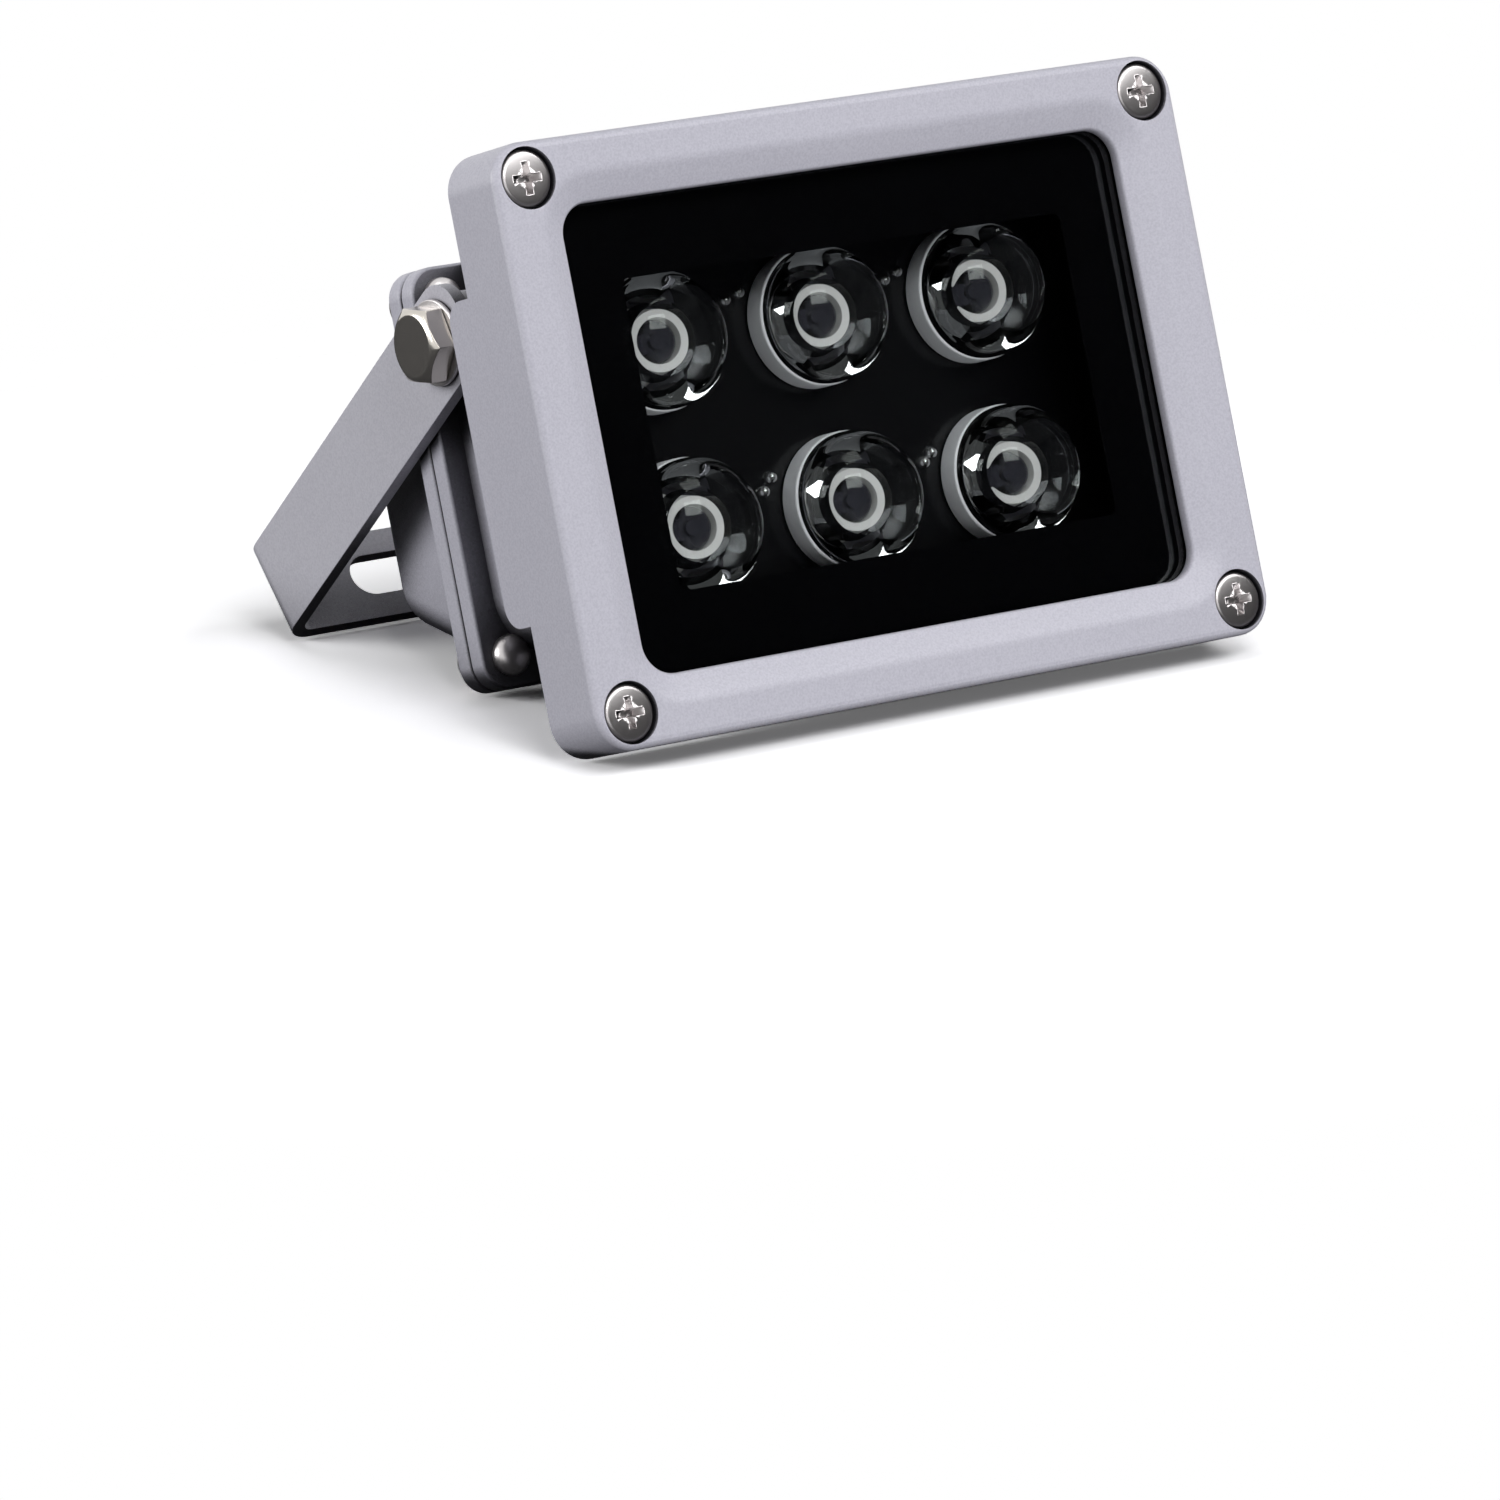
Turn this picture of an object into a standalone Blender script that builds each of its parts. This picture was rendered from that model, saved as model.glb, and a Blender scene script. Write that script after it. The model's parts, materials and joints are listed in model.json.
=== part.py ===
"""Infrared illuminator: a cast lamp head with six lensed emitters, tilting in a bent strip bracket.

The head is modelled in its own frame: X across the face, Y from the face towards the back, Z up
the face, with the origin in the middle of the face. An empty then leans the head back until its
bezel and its rear flange both stand on the ground, and a second empty on the pivot carries the
bracket, whose foot reaches the ground too.
"""

import math

import bmesh
import bpy
import numpy as np
from mathutils import Matrix

MM = 0.001

# Fits between pieces
CLEARANCE = 0.3 * MM
WASHER_GAP = 0.1 * MM
OVERRUN = 1.0 * MM
MERGE = 0.001 * MM

# Front bezel
BEZEL_WIDTH = 115.0 * MM
BEZEL_HEIGHT = 83.0 * MM
BEZEL_CORNER = 5.5 * MM
BEZEL_EDGE = 1.2 * MM
SKIRT_DEPTH = 12.0 * MM
SKIRT_WALL = 2.2 * MM
TONGUE_DEPTH = 17.6 * MM
TONGUE_LENGTH = 45.0 * MM
TONGUE_ROUND = 3.3 * MM
FRAME_DEPTH = 8.0 * MM
BORDER_X = 10.5 * MM
BORDER_Z = 9.25 * MM
WINDOW_CORNER = 4.5 * MM
SLOPE_WIDTH = 4.0 * MM
SLOPE_DROP = 1.8 * MM
LIP_DEPTH = 3.3 * MM

# Bezel screws, pan heads in round pockets
BEZEL_SCREW_INSET_X = 5.43 * MM
BEZEL_SCREW_INSET_Z = 5.05 * MM
BEZEL_SCREW_LENGTH = 9.6 * MM
POCKET_DEPTH = 2.9 * MM

# M4 screws, also those of the rear cover
SCREW_SHANK_RADIUS = 2.0 * MM
SCREW_HEAD_RADIUS = 4.0 * MM
SCREW_HEAD_HEIGHT = 2.4 * MM
SCREW_HEAD_EDGE = 1.0 * MM
SCREW_TIP = 0.6 * MM
CROSS_SPAN = 4.4 * MM
CROSS_SLOT = 1.0 * MM
CROSS_DEPTH = 1.4 * MM

# Window glass and its gasket
GLASS_THICKNESS = 2.0 * MM
GLASS_MARGIN = 1.7 * MM
GASKET_WIDTH = 2.6 * MM

# Emitters: dome lenses in ring holders over square LEDs
LENS_INSET_X = 16.35 * MM
LENS_INSET_Z = 16.4 * MM
LENS_ROOM = 24.0 * MM
LENS_RADIUS = 9.6 * MM
DOME_HEIGHT = 7.6 * MM
LENS_BRIM = 0.8 * MM
LENS_SEAT_RADIUS = 7.6 * MM
LENS_TAIL_RADIUS = 4.4 * MM
LENS_TAIL_LENGTH = 2.3 * MM
LENS_RECESS_RADIUS = 3.0 * MM
LENS_RECESS_DEPTH = 2.2 * MM
HOLDER_RADIUS = 9.8 * MM
HOLDER_HEIGHT = 3.3 * MM
LED_WIDTH = 7.0 * MM
LED_BASE = 1.0 * MM
LED_DOME_RADIUS = 2.4 * MM
LED_DOME_HEIGHT = 1.9 * MM

# LED board and its screws
BOARD_MARGIN = 1.5 * MM
BOARD_CORNER = 2.0 * MM
BOARD_THICKNESS = 1.6 * MM
BOARD_SCREW_INSET = 3.6 * MM
SMALL_HEAD_RADIUS = 2.5 * MM
SMALL_HEAD_HEIGHT = 1.6 * MM
SMALL_SHANK_RADIUS = 1.25 * MM

# Housing
COLLAR_GAP = 0.3 * MM
COLLAR_THICKNESS = 4.0 * MM
BOWL_RISE = 3.75 * MM
BOWL_CORNER = 3.0 * MM
BOWL_WALL = 2.6 * MM
PLATFORM = 3.2 * MM
WAIST_INSET = 3.75 * MM
WAIST_CORNER = 9.0 * MM
FLANGE_FRONT = 41.0 * MM
FLANGE_INSET_X = 9.75 * MM
FLANGE_INSET_Z = 11.75 * MM
FLANGE_CORNER = 4.0 * MM
FLANGE_THICKNESS = 3.1 * MM
FIN_PITCH = 9.4 * MM
FIN_INSET = 10.15 * MM
FIN_THICKNESS = 1.6 * MM
BAY_INSET = 9.25 * MM
BAY_CORNER = 4.0 * MM
LEAD_HOLE_RADIUS = 3.0 * MM

# Rear cover, a tapered box with a flange of its own
COVER_INSET_X = 3.75 * MM
COVER_INSET_Z = 2.75 * MM
COVER_CORNER = 6.0 * MM
COVER_TAPER_X = 2.25 * MM
COVER_BACK_WALL = 3.75 * MM
COVER_RISE = 21.5 * MM
COVER_EDGE = 2.4 * MM
COVER_WALL = 2.6 * MM
SEAL_WIDTH = 2.4 * MM
SEAL_DEPTH = 1.5 * MM
SEAL_MARGIN = 0.7 * MM
REAR_SCREW_INSET = 4.6 * MM
REAR_HEAD_RADIUS = 3.5 * MM
REAR_HEAD_HEIGHT = 2.3 * MM
REAR_SCREW_LENGTH = 10.0 * MM
REAR_POCKET_ROOM = 0.5 * MM

# Driver inside the rear bay
DRIVER_MARGIN_X = 7.5 * MM
DRIVER_MARGIN_Z = 3.5 * MM
DRIVER_THICKNESS = 1.6 * MM
POST_RADIUS = 2.6 * MM
POST_HEIGHT = 6.0 * MM
POST_INSET = 4.0 * MM
CAPACITOR_RADIUS = 5.0 * MM
CAPACITOR_HEIGHT = 14.0 * MM
COIL_RADIUS = 6.5 * MM
COIL_BORE = 3.0 * MM
COIL_HEIGHT = 6.0 * MM
TERMINAL_WIDTH = 15.0 * MM
TERMINAL_HEIGHT = 8.0 * MM
TERMINAL_DEPTH = 10.0 * MM
TERMINAL_EDGE = 0.6 * MM
PART_INSET = 9.0 * MM
LEAD_RADIUS = 0.7 * MM
LEAD_SPACING = 2.6 * MM

# Cable gland on the rear cover
GLAND_DROP = 4.0 * MM
GLAND_BORE = 4.6 * MM
GLAND_THREAD_RADIUS = 5.9 * MM
GLAND_THREAD_LENGTH = 6.4 * MM
GLAND_FLATS = 15.0 * MM
GLAND_BASE = 3.4 * MM
GLAND_NECK_RADIUS = 5.3 * MM
GLAND_NECK = 4.0 * MM
GLAND_CAP_LENGTH = 9.0 * MM
GLAND_CAP_HEX = 4.2 * MM
GLAND_CAP_MOUTH = 3.3 * MM
GLAND_CAP_WALL = 1.2 * MM
LOCKNUT_THICKNESS = 2.2 * MM
LOCKNUT_ROOM = 1.84 * MM
GLAND_SEAL_BORE = 2.5 * MM
GLAND_SEAL_RADIUS = 4.2 * MM

# Pivot in the sides of the housing, with its hex bolts
PIVOT_DEPTH = 32.4 * MM
PIVOT_DROP = 7.4 * MM
PIVOT_BOSS_RADIUS = 6.6 * MM
BOLT_RADIUS = 3.0 * MM
BOLT_LENGTH = 12.0 * MM
BOLT_FLATS = 10.0 * MM
BOLT_HEAD = 3.4 * MM
BOLT_CHAMFER = 0.55 * MM
BOLT_FACE_INSET = 0.275 * MM
BOLT_ANGLE = math.radians(12.0)
WASHER_RADIUS = 6.0 * MM
WASHER_THICKNESS = 0.8 * MM

# Bracket, one bent strip
STRIP_THICKNESS = 2.0 * MM
STRIP_WIDTH = 14.3 * MM
BEND_RADIUS = 4.0 * MM
ARM_GAP = 0.65 * MM
FOOT_ROOM = 4.9 * MM
TIP_REACH = 7.4 * MM
TIP_CORNER = 5.5 * MM
SLOT_WIDTH = 6.5 * MM
SLOT_LENGTH = 15.0 * MM
SLOT_INSET = 14.0 * MM
CENTRE_HOLE_RADIUS = 4.25 * MM

# Smoothness of round shapes
CORNER_STEPS = 4
ROUND_STEPS = 26
SMALL_STEPS = 16
LENS_STEPS = 20
DOME_STEPS = 5
EDGE_SEGMENTS = 3
SCREW_EDGE_STEPS = 2
SHARP = math.radians(32.0)

# Planes and places that follow from the sizes above, along the depth of the head
GLASS_FRONT = LIP_DEPTH + CLEARANCE
GLASS_BACK = GLASS_FRONT + GLASS_THICKNESS
COLLAR_FRONT = FRAME_DEPTH + COLLAR_GAP
DOME_FRONT = GLASS_BACK + CLEARANCE
BRIM_BACK = DOME_FRONT + DOME_HEIGHT + LENS_BRIM
HOLDER_FRONT = BRIM_BACK + CLEARANCE
HOLDER_BACK = HOLDER_FRONT + HOLDER_HEIGHT
BOARD_FRONT = HOLDER_BACK + CLEARANCE
BOARD_BACK = BOARD_FRONT + BOARD_THICKNESS
PLATFORM_FRONT = BOARD_BACK + CLEARANCE
PLATFORM_BACK = PLATFORM_FRONT + PLATFORM
FLANGE_BACK = FLANGE_FRONT + FLANGE_THICKNESS
COVER_FRONT = FLANGE_BACK + CLEARANCE
COVER_SEAT = COVER_FRONT + FLANGE_THICKNESS
COVER_BACK = COVER_SEAT + COVER_RISE
GLAND_SEAT = COVER_BACK + CLEARANCE
GLAND_CAP_FRONT = GLAND_SEAT + GLAND_BASE + CLEARANCE
GLAND_END = GLAND_CAP_FRONT + GLAND_CAP_LENGTH
POST_BACK = PLATFORM_BACK + POST_HEIGHT
DRIVER_FRONT = POST_BACK + CLEARANCE
DRIVER_BACK = DRIVER_FRONT + DRIVER_THICKNESS

# Outlines that follow from the bezel, each set in from the one that carries it
WINDOW_WIDTH = BEZEL_WIDTH - 2 * BORDER_X
WINDOW_HEIGHT = BEZEL_HEIGHT - 2 * BORDER_Z
FLANGE_WIDTH = BEZEL_WIDTH - 2 * FLANGE_INSET_X
FLANGE_HEIGHT = BEZEL_HEIGHT - 2 * FLANGE_INSET_Z
WAIST_WIDTH = FLANGE_WIDTH - 2 * WAIST_INSET
WAIST_HEIGHT = FLANGE_HEIGHT - 2 * WAIST_INSET
BOWL_WIDTH = FLANGE_WIDTH - 2 * BOWL_WALL
BOWL_HEIGHT = FLANGE_HEIGHT + 2 * (BOWL_RISE - BOWL_WALL)
BOARD_WIDTH = BOWL_WIDTH - 2 * BOARD_MARGIN
BOARD_HEIGHT = BOWL_HEIGHT - 2 * BOARD_MARGIN
BAY_WIDTH = FLANGE_WIDTH - 2 * BAY_INSET
BAY_HEIGHT = FLANGE_HEIGHT - 2 * BAY_INSET
COVER_WIDTH = FLANGE_WIDTH - 2 * COVER_INSET_X
COVER_HEIGHT = FLANGE_HEIGHT - 2 * COVER_INSET_Z
COVER_BACK_WIDTH = COVER_WIDTH - 2 * COVER_TAPER_X
GLAND_CORNERS = GLAND_FLATS / math.cos(math.pi / 6)
COVER_BAY_BACK_HEIGHT = GLAND_CORNERS + 2 * (GLAND_DROP + LOCKNUT_ROOM)
COVER_BACK_HEIGHT = COVER_BAY_BACK_HEIGHT + 2 * COVER_BACK_WALL
DRIVER_WIDTH = BAY_WIDTH - 2 * DRIVER_MARGIN_X
DRIVER_HEIGHT = BAY_HEIGHT - 2 * DRIVER_MARGIN_Z
PIVOT_RISE = WAIST_HEIGHT / 2 - PIVOT_DROP
GLAND_REACH = math.hypot(
    GLAND_END - PIVOT_DEPTH, PIVOT_RISE + GLAND_DROP + GLAND_NECK_RADIUS + CLEARANCE
)
# The foot swings clear of the bezel's lower edge and of the end of the gland
ARM_LENGTH = max(PIVOT_RISE + BEZEL_HEIGHT / 2, GLAND_REACH + STRIP_THICKNESS) + FOOT_ROOM

GLASS_WIDTH = WINDOW_WIDTH + 2 * GLASS_MARGIN
GLASS_HEIGHT = WINDOW_HEIGHT + 2 * GLASS_MARGIN
GLASS_CORNER = WINDOW_CORNER + GLASS_MARGIN
COLLAR_WIDTH = BEZEL_WIDTH - 2 * (SKIRT_WALL + CLEARANCE)
COLLAR_HEIGHT = BEZEL_HEIGHT - 2 * (SKIRT_WALL + CLEARANCE)
COLLAR_CORNER = BEZEL_CORNER - SKIRT_WALL
BEZEL_SCREW_X = BEZEL_WIDTH / 2 - BEZEL_SCREW_INSET_X
BEZEL_SCREW_Z = BEZEL_HEIGHT / 2 - BEZEL_SCREW_INSET_Z
REAR_SCREW_X = FLANGE_WIDTH / 2 - REAR_SCREW_INSET
REAR_SCREW_Z = FLANGE_HEIGHT / 2 - REAR_SCREW_INSET
BOARD_SCREW_X = BOARD_WIDTH / 2 - BOARD_SCREW_INSET
BOARD_SCREW_Z = BOARD_HEIGHT / 2 - BOARD_SCREW_INSET
SCREW_HOLE_RADIUS = SCREW_SHANK_RADIUS + CLEARANCE
ARM_INSIDE = FLANGE_WIDTH / 2 + ARM_GAP
ARM_OUTSIDE = ARM_INSIDE + STRIP_THICKNESS
SLOT_REACH = ARM_OUTSIDE - SLOT_INSET
BOSS_FACE = ARM_INSIDE - CLEARANCE
BOLT_CORNERS = BOLT_FLATS / math.cos(math.pi / 6)

# Rows of like pieces: as many as fit, spread evenly over the length that they have
LENS_SPAN_X = BOARD_WIDTH - 2 * LENS_INSET_X
LENS_SPAN_Z = BOARD_HEIGHT - 2 * LENS_INSET_Z
LENS_COLUMNS = int(LENS_SPAN_X / LENS_ROOM) + 1
LENS_ROWS = int(LENS_SPAN_Z / LENS_ROOM) + 1
FIN_SPAN = FLANGE_WIDTH - 2 * FIN_INSET
FIN_COUNT = round(FIN_SPAN / FIN_PITCH) + 1

# The lean that stands the bezel's back edge and the rear flange on the ground together
LEAN = math.atan2(BEZEL_HEIGHT / 2 - FLANGE_HEIGHT / 2, COVER_SEAT - SKIRT_DEPTH)
FACE_HEIGHT = SKIRT_DEPTH * math.sin(LEAN) + BEZEL_HEIGHT / 2 * math.cos(LEAN)


def on_ground(depth, rise):
    """A point of the head's middle plane, as (y, z) once the head leans."""
    y = depth * math.cos(LEAN) + rise * math.sin(LEAN)
    z = FACE_HEIGHT - depth * math.sin(LEAN) + rise * math.cos(LEAN)
    return y, z


PIVOT_Y, PIVOT_Z = on_ground(PIVOT_DEPTH, PIVOT_RISE)
# The arm's slope below level that brings the lower edge of the foot down to the ground
ARM_SLOPE = math.asin(PIVOT_Z / math.hypot(ARM_LENGTH, STRIP_WIDTH / 2)) - math.atan2(
    STRIP_WIDTH / 2, ARM_LENGTH
)
FOREMOST = on_ground(BEZEL_EDGE, BEZEL_EDGE - BEZEL_HEIGHT / 2)[0] - BEZEL_EDGE
REARMOST = PIVOT_Y + ARM_LENGTH * math.cos(ARM_SLOPE) + STRIP_WIDTH / 2 * math.sin(ARM_SLOPE)
MIDDLE_Y = (FOREMOST + REARMOST) / 2

COLOURS = {
    "painted_casting": ((0.50, 0.50, 0.56), 0.42, 0.0),
    "painted_strip": ((0.42, 0.42, 0.46), 0.45, 0.0),
    "steel": ((0.62, 0.61, 0.60), 0.28, 1.0),
    "glass": ((0.02, 0.02, 0.025), 0.05, 0.0),
    "clear_lens": ((0.80, 0.82, 0.85), 0.03, 0.0),
    "holder": ((0.55, 0.56, 0.58), 0.50, 0.0),
    "emitter": ((0.85, 0.85, 0.82), 0.40, 0.0),
    "board": ((0.02, 0.02, 0.02), 0.40, 0.0),
    "rubber": ((0.03, 0.03, 0.03), 0.80, 0.0),
    "black_plastic": ((0.04, 0.04, 0.04), 0.50, 0.0),
    "component": ((0.10, 0.14, 0.25), 0.40, 0.0),
}


def start_empty():
    for obj in list(bpy.data.objects):
        bpy.data.objects.remove(obj, do_unlink=True)


def collection_named(name, shown):
    made = bpy.data.collections.new(name)
    bpy.context.scene.collection.children.link(made)
    made.hide_render = not shown
    return made


start_empty()
PARTS = collection_named("infrared_illuminator", True)
CUTTERS = collection_named("cutters", False)


def material_named(name):
    made = bpy.data.materials.get(name)
    if made is None:
        colour, roughness, metallic = COLOURS[name]
        made = bpy.data.materials.new(name)
        made.use_nodes = True
        shader = made.node_tree.nodes["Principled BSDF"]
        shader.inputs["Base Color"].default_value = (*colour, 1.0)
        shader.inputs["Roughness"].default_value = roughness
        shader.inputs["Metallic"].default_value = metallic
        made.diffuse_color = (*colour, 1.0)
    return made


def empty_at(name, location, angle):
    """An empty turned by an angle about X."""
    made = bpy.data.objects.new(name, None)
    PARTS.objects.link(made)
    made.location = location
    made.rotation_euler = (angle, 0.0, 0.0)
    return made


HEAD = empty_at("head", (0.0, -MIDDLE_Y, FACE_HEIGHT), -LEAN)
ARM = empty_at("arm_pivot", (0.0, PIVOT_Y - MIDDLE_Y, PIVOT_Z), -ARM_SLOPE)


def place(mesh, name, carrier, collection=PARTS):
    made = bpy.data.objects.new(name, mesh)
    collection.objects.link(made)
    made.parent = carrier
    return made


def finish(obj, material):
    obj.data.materials.clear()
    obj.data.materials.append(material_named(material))
    obj.data.shade_smooth()
    obj.data.set_sharp_from_angle(angle=SHARP)
    return obj


def helper(obj):
    """Keeps an object as a cutter or a lump to join: seen as wire, and no node of its own."""
    for owner in list(obj.users_collection):
        owner.objects.unlink(obj)
    CUTTERS.objects.link(obj)
    obj.hide_render = True
    obj.display_type = "WIRE"
    return obj


def boolean(body, operation, others):
    for other in others:
        helper(other)
        step = body.modifiers.new(other.name, "BOOLEAN")
        step.operation = operation
        step.object = other
        step.solver = "EXACT"
    return body


def cut(body, *cutters):
    return boolean(body, "DIFFERENCE", cutters)


def join(body, *lumps):
    return boolean(body, "UNION", lumps)


# The corners of a square about its middle, anticlockwise, as shares of its half width
SQUARE_SHARES = ((1, 1), (-1, 1), (-1, -1), (1, -1))


def rounded_rectangle(width, height, radius, centre=(0.0, 0.0)):
    """The outline's points, anticlockwise, with an arc at each corner."""
    points = []
    for turn, (side, level) in enumerate(SQUARE_SHARES):
        middle = (centre[0] + side * (width / 2 - radius), centre[1] + level * (height / 2 - radius))
        for step in range(CORNER_STEPS + 1):
            angle = math.pi / 2 * (turn + step / CORNER_STEPS)
            points.append((middle[0] + radius * math.cos(angle), middle[1] + radius * math.sin(angle)))
    return points


def rectangle(width, height, centre):
    return [(centre[0] + a * width / 2, centre[1] + b * height / 2) for a, b in SQUARE_SHARES]


def quarter_turn(steps=CORNER_STEPS):
    return [math.pi / 2 * step / steps for step in range(steps + 1)]


def stadium(length, width, centre):
    return rounded_rectangle(length, width, width / 2 - MERGE, centre)


def circle(radius, centre=(0.0, 0.0), steps=ROUND_STEPS):
    turns = [2 * math.pi * step / steps for step in range(steps)]
    return [(centre[0] + radius * math.cos(a), centre[1] + radius * math.sin(a)) for a in turns]


# How an outline's own axes lie in its carrier, and which way its thickness runs
FACING_Y = Matrix(((1, 0, 0, 0), (0, 0, -1, 0), (0, 1, 0, 0), (0, 0, 0, 1)))
FACING_X = Matrix(((0, 0, 1, 0), (1, 0, 0, 0), (0, 1, 0, 0), (0, 0, 0, 1)))
FACING_Z = Matrix.Identity(4)


def slab(name, loops, low, high, facing=FACING_Y, carrier=HEAD):
    """A flat outline, with further loops as holes, thick from low to high along one axis."""
    curve = bpy.data.curves.new(name, "CURVE")
    curve.dimensions = "2D"
    curve.fill_mode = "BOTH"
    curve.extrude = (high - low) / 2
    for loop in loops:
        spline = curve.splines.new("POLY")
        spline.points.add(len(loop) - 1)
        for point, (a, b) in zip(spline.points, loop):
            point.co = (a, b, 0.0, 1.0)
        spline.use_cyclic_u = True
    outline = bpy.data.objects.new(name, curve)
    CUTTERS.objects.link(outline)
    bpy.context.view_layer.update()
    graph = bpy.context.evaluated_depsgraph_get()
    mesh = bpy.data.meshes.new_from_object(outline.evaluated_get(graph))
    bpy.data.objects.remove(outline, do_unlink=True)
    bpy.data.curves.remove(curve)
    along = facing @ Matrix.Translation((0.0, 0.0, (low + high) / 2))
    if facing is FACING_Y:
        along = facing @ Matrix.Translation((0.0, 0.0, -(low + high) / 2))
    build = bmesh.new()
    build.from_mesh(mesh)
    bmesh.ops.remove_doubles(build, verts=build.verts, dist=MERGE)
    bmesh.ops.dissolve_limit(build, angle_limit=MERGE, verts=build.verts, edges=build.edges)
    build.transform(along)
    bmesh.ops.recalc_face_normals(build, faces=build.faces)
    build.to_mesh(mesh)
    build.free()
    mesh.name = name
    return place(mesh, name, carrier)


def add_loop(obj, level):
    """Cuts a loop of edges into the walls of a slab, at one depth."""
    build = bmesh.new()
    build.from_mesh(obj.data)
    geometry = build.verts[:] + build.edges[:] + build.faces[:]
    bmesh.ops.bisect_plane(build, geom=geometry, plane_co=(0.0, level, 0.0), plane_no=(0.0, 1.0, 0.0))
    build.to_mesh(obj.data)
    build.free()
    return obj


def taper(obj, start, end, level):
    """Moves the loop of a slab at one depth to a second outline with as many points as the first."""
    for vertex in obj.data.vertices:
        if abs(vertex.co.y - level) < MERGE:
            gaps = [math.hypot(vertex.co.x - a, vertex.co.z - b) for a, b in start]
            vertex.co.x, vertex.co.z = end[int(np.argmin(gaps))]
    return obj


def round_edges(obj, level, radius):
    """Rounds the outer edges of the face of a slab that lies at one depth."""
    build = bmesh.new()
    build.from_mesh(obj.data)
    edges = [
        edge
        for edge in build.edges
        if all(abs(vertex.co.y - level) < MERGE for vertex in edge.verts)
        and any(abs(face.normal.y) < 0.9 for face in edge.link_faces)
    ]
    bmesh.ops.bevel(build, geom=edges, offset=radius, segments=EDGE_SEGMENTS, profile=0.5, affect="EDGES")
    build.to_mesh(obj.data)
    build.free()
    return obj


AXIS_TURNS = {
    "+Y": (-math.pi / 2, 0.0, 0.0),
    "-Y": (math.pi / 2, 0.0, 0.0),
    "+X": (0.0, math.pi / 2, 0.0),
    "-X": (0.0, -math.pi / 2, 0.0),
}


def turned(name, profile, place_at, axis="+Y", steps=ROUND_STEPS, closed=False, carrier=HEAD):
    """A turned piece: (radius, distance along the axis) pairs, run down the outer side first."""
    mesh = bpy.data.meshes.new(name)
    points = [(radius, 0.0, along) for radius, along in profile]
    edges = [(i, i + 1) for i in range(len(points) - 1)]
    if closed:
        edges.append((len(points) - 1, 0))
    mesh.from_pydata(points, edges, [])
    obj = place(mesh, name, carrier)
    spin = obj.modifiers.new("turn", "SCREW")
    spin.axis = "Z"
    spin.steps = steps
    spin.render_steps = steps
    spin.use_merge_vertices = True
    spin.merge_threshold = MERGE
    obj.location = place_at
    obj.rotation_euler = AXIS_TURNS[axis]
    return obj


def rod(name, radius, low, high, centre, steps=ROUND_STEPS, carrier=HEAD):
    """A plain round bar along the head's depth, mostly used to cut a hole."""
    return slab(name, [circle(radius, centre, steps)], low, high, FACING_Y, carrier)


def cross_bar(name, radius, low, high, centre, carrier, steps=SMALL_STEPS):
    """A plain round bar across the lamp."""
    return slab(name, [circle(radius, centre, steps)], low, high, FACING_X, carrier)


def four_corners(x, z):
    return [(side * x, level * z) for level in (1, -1) for side in (-1, 1)]


def spread(count, span):
    """Places from one end of a span to the other, or its middle for a single piece."""
    if count == 1:
        return [0.0]
    return [span * (number / (count - 1) - 1 / 2) for number in range(count)]


def solidify(obj):
    """Bakes an object's modifiers into its mesh."""
    bpy.context.view_layer.update()
    graph = bpy.context.evaluated_depsgraph_get()
    mesh = bpy.data.meshes.new_from_object(obj.evaluated_get(graph))
    build = bmesh.new()
    build.from_mesh(mesh)
    bmesh.ops.recalc_face_normals(build, faces=build.faces)
    build.to_mesh(mesh)
    build.free()
    obj.modifiers.clear()
    obj.data = mesh
    return obj


def window_outline(grow):
    """The window's outline, grown all round with its corners kept concentric."""
    return rounded_rectangle(WINDOW_WIDTH + 2 * grow, WINDOW_HEIGHT + 2 * grow, WINDOW_CORNER + grow)


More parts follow.
